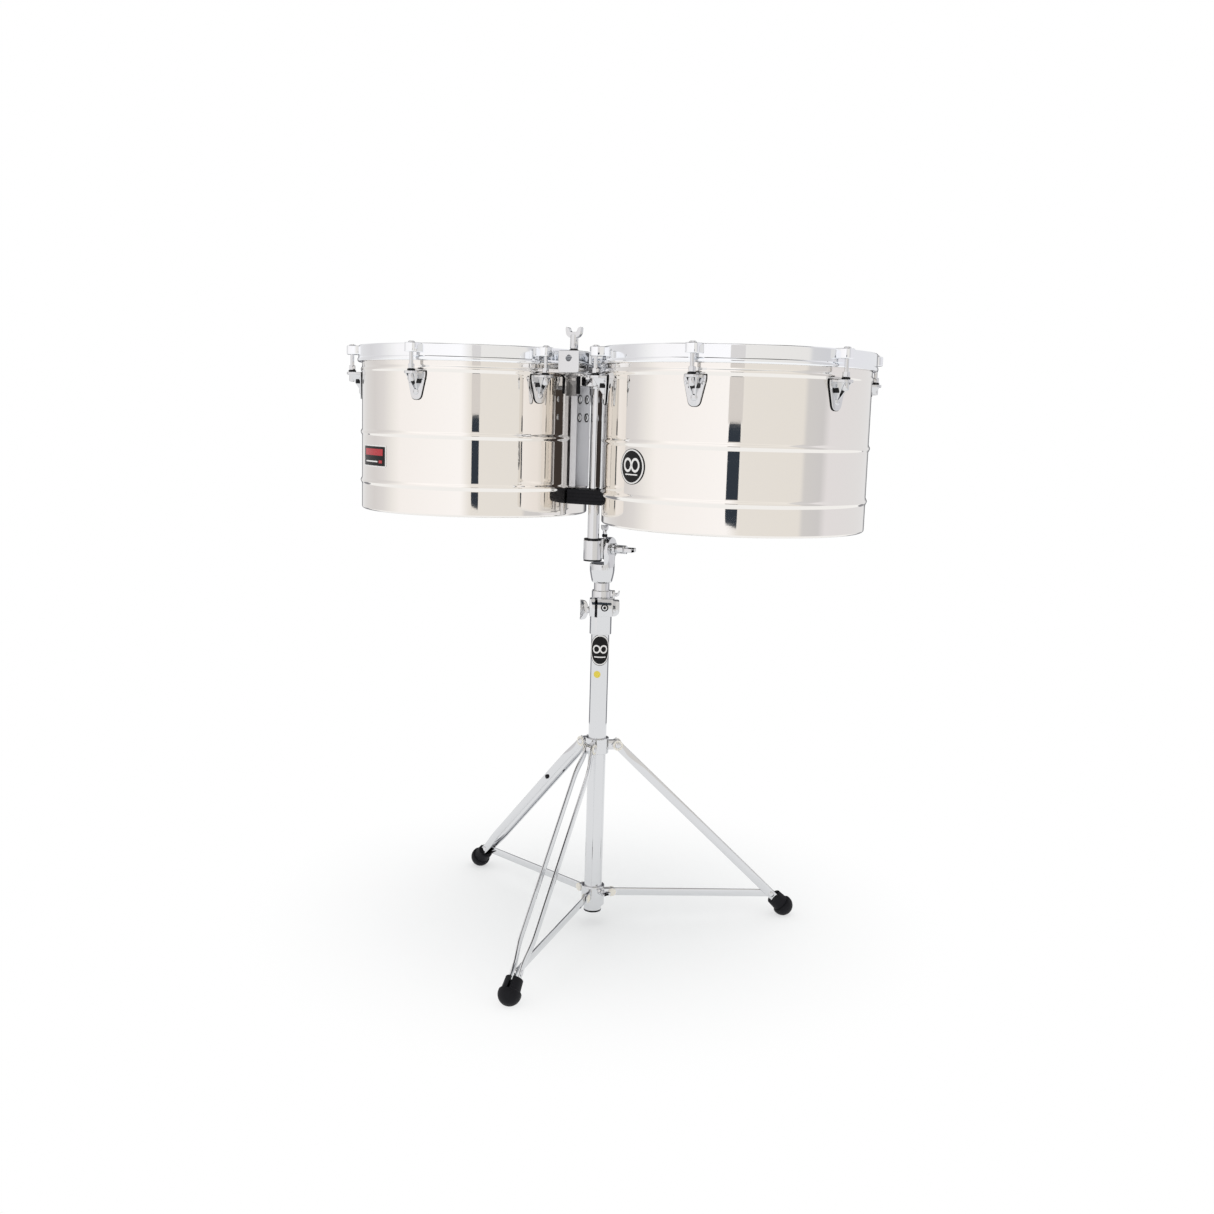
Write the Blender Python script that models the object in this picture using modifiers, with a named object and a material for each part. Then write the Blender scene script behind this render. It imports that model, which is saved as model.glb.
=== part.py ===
"""A pair of timbales, 15 and 16 inches, on a double-braced tripod stand.

Metres, +Z up, floor at z = 0. The drums stand side by side along X and the badge side faces -Y.
Everything is placed from the stand's own axis, and STAND_AXIS puts the middle of the whole box at the origin.
"""

import math

import bmesh
import bpy
from mathutils import Matrix, Vector

# ---- Drums ----
SHELL_RADIUS = {"small": 0.189, "large": 0.2015}
DRUM_X = {"small": -0.2324, "large": 0.2282}
DRUM_Y = -0.0208
LUG_TURN = {"small": 32.0, "large": 33.0}
LUG_COUNT = 6
SHELL_STEPS = 36
SHELL_WALL = 0.0014
SHELL_BOTTOM = 0.6974
SHELL_TOP = 0.9500
BEAD_HEIGHTS = (0.9243, 0.8228, 0.7438)
BEAD_HALF = 0.0048
BEAD_PROUD = 0.0025
RIM_TOP = 0.9621
RIM_BOTTOM = 0.9363
RIM_OUTER = 0.0062
RIM_BEAD = 0.0076
RIM_WALL = 0.0020
FLESH_LOW = 0.9385
FLESH_HIGH = 0.9440
FLESH_OUTER = 0.0038
FILM_TOP = 0.9512

# ---- Lugs and tension rods, measured out from the shell's wall ----
ROD_REACH = 0.0165
ROD_RADIUS = 0.0032
ROD_HOLE = 0.0036
EAR_LOW = 0.9478
EAR_HIGH = 0.9620
EAR_HALF = 0.0120
EAR_ROUND = 0.0090
LEDGE_TOP = 0.9195
LEDGE_THICK = 0.0030
LUG_PLATE_HALF = 0.0150
LUG_PLATE_END = 0.8825
LUG_PLATE_ROUND = 0.0075
LUG_PLATE_THICK = 0.0025

# ---- What holds the drums ----
MAST = (-0.0080, -0.0210)
MAST_RADIUS = 0.0095
MAST_LOW = 0.6258
MAST_HIGH = 0.9200
BRACKET_DEPTH = 0.0120
BRACKET_HALF = 0.0240
BRACKET_LOW = 0.7450
BRACKET_HIGH = 0.9150
BRACKET_WALL = 0.0030
CARRIER_LOW = 0.9050
STUD_Z = 0.9100
ARM_LOW = 0.9245
ARM_HIGH = 0.9385
ARM_HALF = 0.0120
CLAMP_FRONT = -0.1250
CLAMP_BACK = -0.0890
CLAMP_HALF = 0.0180
CLAMP_LOW = 0.9235
CLAMP_HIGH = 0.9572
ACCESSORY_HOLE = 0.0051
ACCESSORY_Z = 0.9455
SPACER_LOW = 0.7180
SPACER_HIGH = 0.7425
SPACER_FRONT = -0.0500
SPACER_BACK = -0.0040

# ---- Tilter ----
TILT_Z = 0.6450
TILT_DISC = 0.0190
SOCKET_LOW = 0.6253
SOCKET_HIGH = 0.6621
SOCKET_RADIUS = 0.0152
SOCKET_DISC = (0.0040, 0.0100)
WEB_BACK = -0.0085
WEB_TOP = 0.6642
BASE_DISC = (0.0107, 0.0172)
BASE_LOW = 0.5886
BASE_HIGH = 0.6205
SOCKET_SCREW = (0.0070, -0.0090)

# ---- Column ----
OUTER_TUBE = 0.0150
INNER_TUBE = 0.0127
TUBE_WALL = 0.0015
TUBE_LOW = 0.0245
TUBE_HIGH = 0.5310
INNER_LOW = 0.3300
CLAMP_TURN = 25.0
SLEEVE_LOW = 0.5021
SLEEVE_RADIUS = 0.0180
COLUMN_CLAMP_HIGH = 0.5600
LOCK_LOW = 0.5603
LOCK_HIGH = 0.5754

# ---- Tripod ----
LEG_AZIMUTHS = (35.1, 155.1, 275.1)
LEG_PIN = (0.0343, 0.3126)
FOOT_CENTRE = (0.3401, 0.0165)
BRACE_PIN_ALONG = 0.3920
COLLAR_PIN = (0.0326, 0.0531)
LEG_COLLAR = (0.2998, 0.3258)
BRACE_COLLAR = (0.0330, 0.0670)
COLLAR_RADIUS = 0.0195
BAR_WIDTH = 0.0140
BAR_THICK = 0.0030
BRACE_WIDTH = 0.0130
BAR_LINE = ((-0.008, 0.0065), (0.014, 0.0065), (0.045, 0.0110), (0.345, 0.0110), (0.376, 0.0065), (0.414, 0.0065))
BOOT_RADIUS = 0.0178
BOOT_SLEEVE = 0.0125
BOOT_START = 0.4015
COLLAR_SCREW_AZIMUTH = -25.0
COLLAR_SCREW_Z = 0.0600

GAP = 0.0003
STEPS = 24
STAND_AXIS = (-0.0042, 0.0716, 0.0)

PARTS = "timbales"


# ---- Scene and materials ----
def clear_scene():
    for obj in list(bpy.data.objects):
        bpy.data.objects.remove(obj, do_unlink=True)


def new_collection(name):
    collection = bpy.data.collections.new(name)
    bpy.context.scene.collection.children.link(collection)
    return collection


def new_material(name, colour, metallic, roughness):
    material = bpy.data.materials.new(name)
    material.use_nodes = True
    shader = material.node_tree.nodes["Principled BSDF"]
    shader.inputs["Base Color"].default_value = (*colour, 1.0)
    shader.inputs["Metallic"].default_value = metallic
    shader.inputs["Roughness"].default_value = roughness
    material.diffuse_color = (*colour, 1.0)
    return material


# ---- Working solids: each helper returns an object that combine() or place() uses up ----
def solid(mesh_maker):
    bm = bmesh.new()
    mesh_maker(bm)
    mesh = bpy.data.meshes.new("working")
    bm.to_mesh(mesh)
    bm.free()
    obj = bpy.data.objects.new("working", mesh)
    bpy.context.scene.collection.objects.link(obj)
    return obj


def cylinder(radius, low, high, sides=STEPS, axis="Z", at=(0.0, 0.0)):
    """A cylinder from low to high along an axis; at holds its two other coordinates, in X, Y, Z order."""
    turn = {
        "X": Matrix(((0, 0, 1), (1, 0, 0), (0, 1, 0))),
        "Y": Matrix(((1, 0, 0), (0, 0, 1), (0, -1, 0))),
        "Z": Matrix.Identity(3),
    }[axis].to_4x4()
    middle = (low + high) / 2
    centre = {"X": (middle, *at), "Y": (at[0], middle, at[1]), "Z": (*at, middle)}[axis]

    def make(bm):
        bmesh.ops.create_cone(
            bm, cap_ends=True, segments=sides, radius1=radius, radius2=radius, depth=high - low
        )
        bmesh.ops.transform(bm, matrix=Matrix.Translation(centre) @ turn, verts=bm.verts)

    return solid(make)


def block(low, high):
    def make(bm):
        bmesh.ops.create_cube(bm, size=1.0)
        size = [b - a for a, b in zip(low, high)]
        middle = [(a + b) / 2 for a, b in zip(low, high)]
        bmesh.ops.scale(bm, vec=size, verts=bm.verts)
        bmesh.ops.translate(bm, vec=middle, verts=bm.verts)

    return solid(make)


def baked(obj):
    """The object with its modifiers worked out, its doubles merged and its faces turned outwards."""
    graph = bpy.context.evaluated_depsgraph_get()
    mesh = bpy.data.meshes.new_from_object(obj.evaluated_get(graph))
    bm = bmesh.new()
    bm.from_mesh(mesh)
    bmesh.ops.remove_doubles(bm, verts=bm.verts, dist=1e-6)
    bmesh.ops.recalc_face_normals(bm, faces=bm.faces)
    bm.to_mesh(mesh)
    bm.free()
    result = bpy.data.objects.new("working", mesh)
    result.matrix_world = obj.matrix_world
    bpy.context.scene.collection.objects.link(result)
    bpy.data.objects.remove(obj, do_unlink=True)
    return result


def turned(profile, steps=STEPS):
    """A profile of (radius, height), down the outer side first, turned about Z."""
    mesh = bpy.data.meshes.new("working")
    points = [(radius, 0.0, height) for radius, height in profile]
    edges = [(i, i + 1) for i in range(len(points) - 1)]
    if profile[0][0] > 0:
        edges.append((len(points) - 1, 0))
    mesh.from_pydata(points, edges, [])
    obj = bpy.data.objects.new("working", mesh)
    bpy.context.scene.collection.objects.link(obj)
    screw = obj.modifiers.new("turn", "SCREW")
    screw.steps = screw.render_steps = steps
    screw.use_merge_vertices = True
    screw.merge_threshold = 0.00005
    return baked(obj)


def plate(points, thickness, plane="XY", offset=0.0):
    """A flat outline with its thickness centred on the plane, then moved by offset along its normal."""
    curve = bpy.data.curves.new("working", "CURVE")
    curve.dimensions = "2D"
    curve.fill_mode = "BOTH"
    curve.extrude = thickness / 2
    spline = curve.splines.new("POLY")
    spline.points.add(len(points) - 1)
    for point, (x, y) in zip(spline.points, points):
        point.co = (x, y, 0.0, 1.0)
    spline.use_cyclic_u = True
    obj = bpy.data.objects.new("working", curve)
    bpy.context.scene.collection.objects.link(obj)
    obj = baked(obj)
    turn = {
        "XY": Matrix.Identity(3),
        "XZ": Matrix(((1, 0, 0), (0, 0, -1), (0, 1, 0))),
        "YZ": Matrix(((0, 0, 1), (1, 0, 0), (0, 1, 0))),
    }[plane].to_4x4()
    obj.data.transform(turn @ Matrix.Translation((0.0, 0.0, offset)))
    return obj


def moved(obj, matrix):
    obj.data.transform(matrix)
    return obj


def combine(base, add=(), cut=()):
    """Joins some solids to a base and cuts others out of it."""
    for operation, others in (("UNION", add), ("DIFFERENCE", cut)):
        for other in others:
            step = base.modifiers.new(operation, "BOOLEAN")
            step.operation = operation
            step.object = other
            step.solver = "EXACT"
    result = baked(base)
    for other in (*add, *cut):
        bpy.data.objects.remove(other, do_unlink=True)
    return result


def place(obj, name, material, origin=(0.0, 0.0, 0.0), frame=None):
    """Names a solid, gives it its material and puts its origin at a point of the stand.

    With a frame, the mesh is already in that frame's own coordinates, and the frame places it.
    """
    mesh = obj.data
    mesh.name = name
    mesh.materials.clear()
    mesh.materials.append(material)
    mesh.shade_smooth()
    mesh.set_sharp_from_angle(angle=math.radians(30))
    if frame is None:
        mesh.transform(Matrix.Translation([-v for v in origin]))
        frame = Matrix.Translation(origin)
    return stand(name, mesh, frame, obj)


def stand(name, mesh, frame, working=None):
    """A part of that mesh, held by the stand's own empty."""
    if working is not None:
        bpy.data.objects.remove(working, do_unlink=True)
    part = bpy.data.objects.new(name, mesh)
    bpy.data.collections[PARTS].objects.link(part)
    part.parent = bpy.data.objects["stand_axis"]
    part.matrix_local = frame
    return part


def arc(centre, radius, start, end, count):
    """Points along an arc, with its angles in degrees."""
    angles = [math.radians(start + (end - start) * i / count) for i in range(count + 1)]
    return [(centre[0] + radius * math.cos(a), centre[1] + radius * math.sin(a)) for a in angles]


def tab(start, pin, half, count=5):
    """A strip along X from start, rounded about its pin."""
    return [(start, -half), *arc((pin, 0.0), half, -90, 90, count), (start, half)]


def turn_z(degrees):
    return Matrix.Rotation(math.radians(degrees), 4, "Z")


# ---- Drums ----
def drum_centre(drum):
    return Vector((DRUM_X[drum], DRUM_Y, 0.0))


def shell(drum, material):
    radius = SHELL_RADIUS[drum]
    inner = radius - SHELL_WALL
    profile = [(radius, SHELL_TOP)]
    for height in BEAD_HEIGHTS:
        profile += [
            (radius, height + BEAD_HALF),
            (radius + BEAD_PROUD, height + BEAD_HALF * 0.35),
            (radius + BEAD_PROUD, height - BEAD_HALF * 0.35),
            (radius, height - BEAD_HALF),
        ]
    profile += [
        (radius, SHELL_BOTTOM + 0.003),
        (radius - 0.003, SHELL_BOTTOM),
        (radius - 0.007, SHELL_BOTTOM),
        (radius - 0.007, SHELL_BOTTOM + SHELL_WALL),
        (inner, SHELL_BOTTOM + SHELL_WALL + 0.002),
        (inner, SHELL_TOP),
    ]
    obj = moved(turned(profile, SHELL_STEPS), Matrix.Translation(drum_centre(drum)))
    place(obj, f"{drum}_shell", material, drum_centre(drum))


def head(drum, material):
    radius = SHELL_RADIUS[drum]
    profile = [
        (0.0, FILM_TOP),
        (radius + 0.0001, FILM_TOP),
        (radius + 0.0009, FILM_TOP - 0.0007),
        (radius + 0.0009, FLESH_HIGH),
        (radius + FLESH_OUTER, FLESH_HIGH),
        (radius + FLESH_OUTER, FLESH_LOW),
        (radius + 0.0004, FLESH_LOW),
        (radius + 0.0004, SHELL_TOP + GAP),
        (0.0, SHELL_TOP + GAP),
    ]
    obj = moved(turned(profile, SHELL_STEPS), Matrix.Translation(drum_centre(drum)))
    place(obj, f"{drum}_head", material, drum_centre(drum))


def rim(drum, material):
    radius = SHELL_RADIUS[drum]
    wall = radius + RIM_OUTER - RIM_WALL
    band = turned(
        [
            (radius + RIM_OUTER, RIM_TOP),
            (radius + RIM_OUTER, RIM_BOTTOM + 0.0064),
            (radius + RIM_BEAD, RIM_BOTTOM + 0.0050),
            (radius + RIM_BEAD, RIM_BOTTOM + 0.0014),
            (radius + RIM_OUTER, RIM_BOTTOM),
            (wall, RIM_BOTTOM),
            (wall, FLESH_HIGH + GAP),
            (radius + 0.0013, FLESH_HIGH + GAP),
            (radius + 0.0013, FLESH_HIGH + 0.0018),
            (wall, FLESH_HIGH + 0.0018),
            (wall, RIM_TOP),
        ],
        SHELL_STEPS,
    )
    rod = radius + ROD_REACH
    ears, holes = [], []
    for k in range(LUG_COUNT):
        turn = turn_z(LUG_TURN[drum] + 360 / LUG_COUNT * k)
        outline = [
            (radius + RIM_OUTER - 0.0012, -EAR_HALF),
            *arc((rod, 0.0), EAR_ROUND, -75, 75, 5),
            (radius + RIM_OUTER - 0.0012, EAR_HALF),
        ]
        ear = plate(outline, EAR_HIGH - EAR_LOW, "XY", (EAR_HIGH + EAR_LOW) / 2)
        ears.append(moved(ear, turn))
        holes.append(moved(cylinder(ROD_HOLE, EAR_LOW - 0.002, EAR_HIGH + 0.002, 8, at=(rod, 0.0)), turn))
    obj = moved(combine(band, ears, holes), Matrix.Translation(drum_centre(drum)))
    place(obj, f"{drum}_rim", material, drum_centre(drum))


def lug_mesh():
    """A lug in its own frame: +X out of the drum, its origin on the shell's wall below the rod."""
    width = [
        (-LUG_PLATE_HALF, LEDGE_TOP),
        (-LUG_PLATE_HALF, LEDGE_TOP - 0.004),
        *arc((0.0, LUG_PLATE_END), LUG_PLATE_ROUND, 195, 345, 5),
        (LUG_PLATE_HALF, LEDGE_TOP - 0.004),
        (LUG_PLATE_HALF, LEDGE_TOP),
    ]
    back = plate(width, LUG_PLATE_THICK, "YZ", 0.0004 + LUG_PLATE_THICK / 2)
    ledge_outline = [
        (0.0015, -0.0125),
        *arc((ROD_REACH, 0.0), EAR_ROUND, -70, 70, 5),
        (0.0015, 0.0125),
    ]
    ledge = plate(ledge_outline, LEDGE_THICK, "XY", LEDGE_TOP - LEDGE_THICK / 2)
    cheek = [(0.0015, LEDGE_TOP - 0.001), (0.0015, 0.8960), (0.0050, 0.8960), (0.0215, LEDGE_TOP - 0.001)]
    cheeks = [plate(cheek, 0.0020, "XZ", side * 0.0072) for side in (-1, 1)]
    screw = cylinder(0.0038, 0.0015, 0.0045, 8, "X", (0.0, LUG_PLATE_END))
    hole = cylinder(ROD_HOLE, LEDGE_TOP - 0.006, LEDGE_TOP + 0.002, 8, at=(ROD_REACH, 0.0))
    return combine(back, [ledge, *cheeks, screw], [hole])


def tension_rod_mesh():
    """A rod in its own frame, on its own axis: head, shank, hex collar, washer and end nut."""
    profile = [
        (0.0, 0.9645),
        (0.0052, 0.9645),
        (0.0052, EAR_HIGH + GAP),
        (ROD_RADIUS, EAR_HIGH + GAP),
        (ROD_RADIUS, 0.9306),
        (0.0055, 0.9300),
        (0.0055, 0.9226),
        (0.0062, 0.9226),
        (0.0062, LEDGE_TOP + GAP),
        (ROD_RADIUS, LEDGE_TOP + GAP),
        (ROD_RADIUS, LEDGE_TOP - LEDGE_THICK - GAP),
        (0.0046, LEDGE_TOP - LEDGE_THICK - GAP),
        (0.0046, 0.9040),
        (0.0, 0.9040),
    ]
    return turned(profile, 8)


def lugs_and_rods(drum, steel, rod_steel):
    """Each drum's own copies share one lug mesh and one rod mesh."""
    lug_obj, rod_obj = lug_mesh(), tension_rod_mesh()
    for k in range(LUG_COUNT):
        turn = turn_z(LUG_TURN[drum] + 360 / LUG_COUNT * k)
        wall = Matrix.Translation(drum_centre(drum)) @ turn @ Matrix.Translation((SHELL_RADIUS[drum], 0, 0))
        axis = wall @ Matrix.Translation((ROD_REACH, 0, 0))
        if k == 0:
            lug = place(lug_obj, f"{drum}_lug_1", steel, frame=wall)
            rod = place(rod_obj, f"{drum}_tension_rod_1", rod_steel, frame=axis)
        else:
            stand(f"{drum}_lug_{k + 1}", lug.data, wall)
            stand(f"{drum}_tension_rod_{k + 1}", rod.data, axis)


def drum_bracket(drum, material):
    """The channel on the shell that faces the mast, with the studs that enter the carrier."""
    side = 1 if drum == "small" else -1
    wall = DRUM_X[drum] + side * SHELL_RADIUS[drum]
    face = wall + side * BRACKET_DEPTH
    skin = face - side * BRACKET_WALL
    y = DRUM_Y

    def slab(x0, x1, y0, y1, z0, z1):
        return block((min(x0, x1), y0, z0), (max(x0, x1), y1, z1))

    front = slab(skin, face, y - BRACKET_HALF, y + BRACKET_HALF, BRACKET_LOW, BRACKET_HIGH)
    flanges = [
        slab(
            wall - side * 0.002,
            face - side * 0.001,
            y + s * BRACKET_HALF - (s > 0) * BRACKET_WALL,
            y + s * BRACKET_HALF + (s < 0) * BRACKET_WALL,
            BRACKET_LOW,
            BRACKET_HIGH,
        )
        for s in (-1, 1)
    ]
    studs = [
        cylinder(0.0035, *sorted((skin, face + side * 0.006)), 10, "X", (y + s * 0.0135, STUD_Z))
        for s in (-1, 1)
    ]
    shell_space = cylinder(SHELL_RADIUS[drum] + BEAD_PROUD + GAP, 0.70, 0.93, 2 * SHELL_STEPS, at=drum_centre(drum)[:2])
    place(
        combine(front, [*flanges, *studs], [shell_space]),
        f"{drum}_mount_bracket",
        material,
        (wall, y, BRACKET_LOW),
    )


# ---- Carrier, mast and accessory clamp ----
def carrier_sides():
    """The x of the two bracket faces that the carrier fits between."""
    left = DRUM_X["small"] + SHELL_RADIUS["small"] + BRACKET_DEPTH
    right = DRUM_X["large"] - SHELL_RADIUS["large"] - BRACKET_DEPTH
    return left, right


def carrier(material):
    left, right = carrier_sides()
    hub = block((left + GAP, DRUM_Y - 0.0190, CARRIER_LOW), (right - GAP, DRUM_Y + 0.0190, ARM_LOW + 0.002))
    arm = block((MAST[0] - ARM_HALF, CLAMP_BACK + GAP, ARM_LOW), (MAST[0] + ARM_HALF, DRUM_Y + 0.019, ARM_HIGH))
    stud = cylinder(0.0035, CLAMP_BACK - 0.012, CLAMP_BACK + 0.006, 12, "Y", (MAST[0], 0.9315))
    bore = cylinder(MAST_RADIUS + GAP, CARRIER_LOW - 0.002, MAST_HIGH + GAP, STEPS, at=MAST)
    holes = [
        cylinder(0.0039, x0, x1, 10, "X", (DRUM_Y + s * 0.0135, STUD_Z))
        for x0, x1 in ((left - 0.002, left + 0.0070), (right - 0.0070, right + 0.002))
        for s in (-1, 1)
    ]
    place(combine(hub, [arm, stud], [bore, *holes]), "carrier", material, (*MAST, CARRIER_LOW))


def mast(material):
    profile = [
        (MAST_RADIUS, MAST_HIGH),
        (MAST_RADIUS, MAST_LOW),
        (MAST_RADIUS - TUBE_WALL, MAST_LOW),
        (MAST_RADIUS - TUBE_WALL, MAST_HIGH),
    ]
    obj = moved(turned(profile), Matrix.Translation((*MAST, 0.0)))
    place(obj, "mast", material, (*MAST, MAST_LOW))


def accessory_clamp(material):
    body = block((MAST[0] - CLAMP_HALF, CLAMP_FRONT, CLAMP_LOW), (MAST[0] + CLAMP_HALF, CLAMP_BACK, CLAMP_HIGH))
    middle = (CLAMP_FRONT + CLAMP_BACK) / 2
    rod_hole = cylinder(ACCESSORY_HOLE, CLAMP_FRONT - 0.002, CLAMP_BACK + 0.002, 16, "Y", (MAST[0], ACCESSORY_Z))
    screw_hole = cylinder(0.0033, ACCESSORY_Z, CLAMP_HIGH + 0.002, 12, at=(MAST[0], middle))
    stud_hole = cylinder(0.0039, CLAMP_BACK - 0.0125, CLAMP_BACK + 0.002, 12, "Y", (MAST[0], 0.9315))
    place(
        combine(body, (), [rod_hole, screw_hole, stud_hole]),
        "accessory_clamp",
        material,
        (MAST[0], CLAMP_BACK, CLAMP_LOW),
    )


def wings(width, low, high, thick, notch):
    """A wing screw's two wings: a plate in XZ with a notch between its lobes."""
    outline = [
        (-0.004, low),
        (0.004, low),
        (width, low + (high - low) * 0.35),
        (width, high),
        (width * 0.55, high),
        (0.0035, high - notch),
        (-0.0035, high - notch),
        (-width * 0.55, high),
        (-width, high),
        (-width, low + (high - low) * 0.35),
    ]
    return plate(outline, thick, "XZ")


def wing_screw(shaft, boss, wing, sides=12):
    """A wing screw in its own frame along +Z. shaft and boss are (radius, low, high), wing is wings()'s values."""
    stem = cylinder(shaft[0], shaft[1], shaft[2], sides)
    return combine(stem, [cylinder(*boss, sides), wings(*wing)])


def accessory_screw(material):
    middle = (CLAMP_FRONT + CLAMP_BACK) / 2
    screw = wing_screw(
        (0.0030, 0.9515, 0.9800), (0.0060, CLAMP_HIGH + GAP, 0.9760), (0.0135, 0.9740, 0.9931, 0.0050, 0.0100)
    )
    place(screw, "accessory_wing_screw", material, frame=Matrix.Translation((MAST[0], middle, 0.0)))


def drum_spacer(material):
    body = block((-0.050, SPACER_FRONT, SPACER_LOW), (0.034, SPACER_BACK, SPACER_HIGH))
    cuts = [cylinder(MAST_RADIUS + GAP, SPACER_LOW - 0.002, SPACER_HIGH + 0.002, STEPS, at=MAST)]
    for drum, radius in SHELL_RADIUS.items():
        cuts.append(
            cylinder(
                radius + BEAD_PROUD + GAP,
                SPACER_LOW - 0.002,
                SPACER_HIGH + 0.002,
                2 * SHELL_STEPS,
                at=drum_centre(drum)[:2],
            )
        )
    place(combine(body, (), cuts), "drum_spacer", material, (*MAST, SPACER_LOW))


# ---- Tilter ----
def tilter_socket(material):
    sleeve = cylinder(SOCKET_RADIUS, SOCKET_LOW, SOCKET_HIGH, STEPS, at=MAST)
    disc = cylinder(TILT_DISC, *SOCKET_DISC, 28, "X", (0.0, TILT_Z))
    web = block((0.0, MAST[1], SOCKET_LOW + 0.002), (SOCKET_DISC[1], WEB_BACK, WEB_TOP))
    bore = cylinder(MAST_RADIUS + GAP, SOCKET_LOW - 0.002, WEB_TOP + 0.002, STEPS, at=MAST)
    bolt_hole = cylinder(0.0044, -0.004, 0.012, 14, "X", (0.0, TILT_Z))
    screw_hole = cylinder(0.0028, 0.6490, WEB_TOP + 0.002, 10, at=SOCKET_SCREW)
    place(
        combine(sleeve, [disc, web], [bore, bolt_hole, screw_hole]),
        "tilter_socket",
        material,
        (0.0, 0.0, TILT_Z),
    )


def tilter_base(material):
    cone = turned(
        [
            (0.0, BASE_HIGH),
            (0.0205, BASE_HIGH),
            (0.0200, 0.6080),
            (0.0165, BASE_LOW + 0.003),
            (0.0145, BASE_LOW),
            (INNER_TUBE - TUBE_WALL - GAP, BASE_LOW),
            (INNER_TUBE - TUBE_WALL - GAP, BASE_LOW - 0.020),
            (0.0, BASE_LOW - 0.020),
        ]
    )
    disc = cylinder(TILT_DISC, *BASE_DISC, 28, "X", (0.0, TILT_Z))
    neck = block((BASE_DISC[0], -0.0172, 0.6100), (BASE_DISC[1], 0.0172, TILT_Z - 0.006))
    bolt_hole = cylinder(0.0044, 0.008, 0.020, 14, "X", (0.0, TILT_Z))
    place(combine(cone, [disc, neck], [bolt_hole]), "tilter_base", material, (0.0, 0.0, BASE_LOW))


def tilter_bolt(material):
    """The bolt through both discs, in its own frame along +X, with its serrated hub and its wings."""
    shank = cylinder(0.0040, -0.0010, 0.0400, 14, "X")
    nut = cylinder(0.0062, -0.0030, SOCKET_DISC[0] - GAP, 6, "X")
    hub = cylinder(0.0095, BASE_DISC[1] + GAP, 0.0240, 20, "X")
    wing = moved(wings(0.0105, 0.0300, 0.0560, 0.0050, 0.0100), Matrix(((0, 0, 1), (1, 0, 0), (0, 1, 0))).to_4x4())
    place(
        combine(shank, [nut, hub, wing]),
        "tilter_wing_bolt",
        material,
        frame=Matrix.Translation((0.0, 0.0, TILT_Z)),
    )


def socket_screw(material):
    screw = wing_screw(
        (0.0025, 0.6500, 0.6700), (0.0042, WEB_TOP + GAP, 0.6700), (0.0070, 0.6680, 0.6850, 0.0035, 0.0060), 10
    )
    place(screw, "socket_screw", material, frame=Matrix.Translation((*SOCKET_SCREW, 0.0)))


# ---- Column ----
def tube(name, radius, low, high, material):
    wall = radius - TUBE_WALL
    place(turned([(radius, high), (radius, low), (wall, low), (wall, high)]), name, material, (0.0, 0.0, low))


def end_plug(material):
    """The moulded plug in the foot of the outer tube."""
    wall = OUTER_TUBE - TUBE_WALL - GAP
    profile = [
        (0.0, TUBE_LOW + 0.012),
        (wall, TUBE_LOW + 0.012),
        (wall, TUBE_LOW - GAP),
        (OUTER_TUBE, TUBE_LOW - GAP),
        (OUTER_TUBE - 0.001, TUBE_LOW - 0.003),
        (0.0, TUBE_LOW - 0.003),
    ]
    place(turned(profile), "tube_end_plug", material, (0.0, 0.0, TUBE_LOW))


def memory_lock(material):
    """The stop ring on the inner tube, with a lug for its screw."""
    turn = turn_z(CLAMP_TURN)
    ring = cylinder(0.0160, LOCK_LOW, LOCK_HIGH)
    lug = moved(block((0.0130, -0.0060, LOCK_LOW), (0.0225, 0.0060, LOCK_HIGH)), turn)
    bore = cylinder(INNER_TUBE + GAP, LOCK_LOW - 0.002, LOCK_HIGH + 0.002)
    hole = moved(cylinder(0.0025, 0.0100, 0.0240, 10, "X", (0.0, 0.5680)), turn)
    place(combine(ring, [lug], [bore, hole]), "memory_lock", material, (0.0, 0.0, LOCK_LOW))


def memory_lock_screw(material):
    """In its own frame along +X: a shank in the ring's lug, and a small lever."""
    shank = cylinder(0.0022, INNER_TUBE + 0.0008, 0.0260, 10, "X")
    lever = plate([(0.0230, -0.0030), (0.0300, 0.0020), (0.0300, 0.0068), (0.0230, 0.0030)], 0.0060, "XZ")
    frame = turn_z(CLAMP_TURN) @ Matrix.Translation((0.0, 0.0, 0.5680))
    place(combine(shank, [lever]), "memory_lock_screw", material, frame=frame)


def height_clamp(material):
    """Sleeve on the outer tube, split clamp on the inner tube, in one casting."""
    turn = turn_z(CLAMP_TURN)
    sleeve = turned([(0.0, 0.5560), (0.0185, 0.5560), (0.0185, 0.5330), (SLEEVE_RADIUS, 0.5310),
                     (SLEEVE_RADIUS, SLEEVE_LOW), (0.0, SLEEVE_LOW)])
    boss = moved(block((-0.0190, -0.0280, 0.5340), (0.0195, -0.0080, 0.5560)), turn)
    side = moved(block((0.0130, -0.0160, 0.5340), (0.0300, 0.0040, COLUMN_CLAMP_HIGH)), turn)
    tube_bore = cylinder(OUTER_TUBE + GAP, SLEEVE_LOW - 0.002, TUBE_HIGH + GAP)
    bore = cylinder(INNER_TUBE + GAP, TUBE_HIGH - 0.002, 0.5700)
    slot = moved(block((-0.0090, -0.0320, 0.5310), (-0.0070, -0.0060, 0.5700)), turn)
    bolt_hole = moved(cylinder(0.0034, -0.0300, 0.0320, 12, "X", (-0.0220, 0.5450)), turn)
    place(
        combine(sleeve, [boss, side], [tube_bore, bore, slot, bolt_hole]),
        "height_clamp",
        material,
        (0.0, 0.0, TUBE_HIGH),
    )


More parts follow.
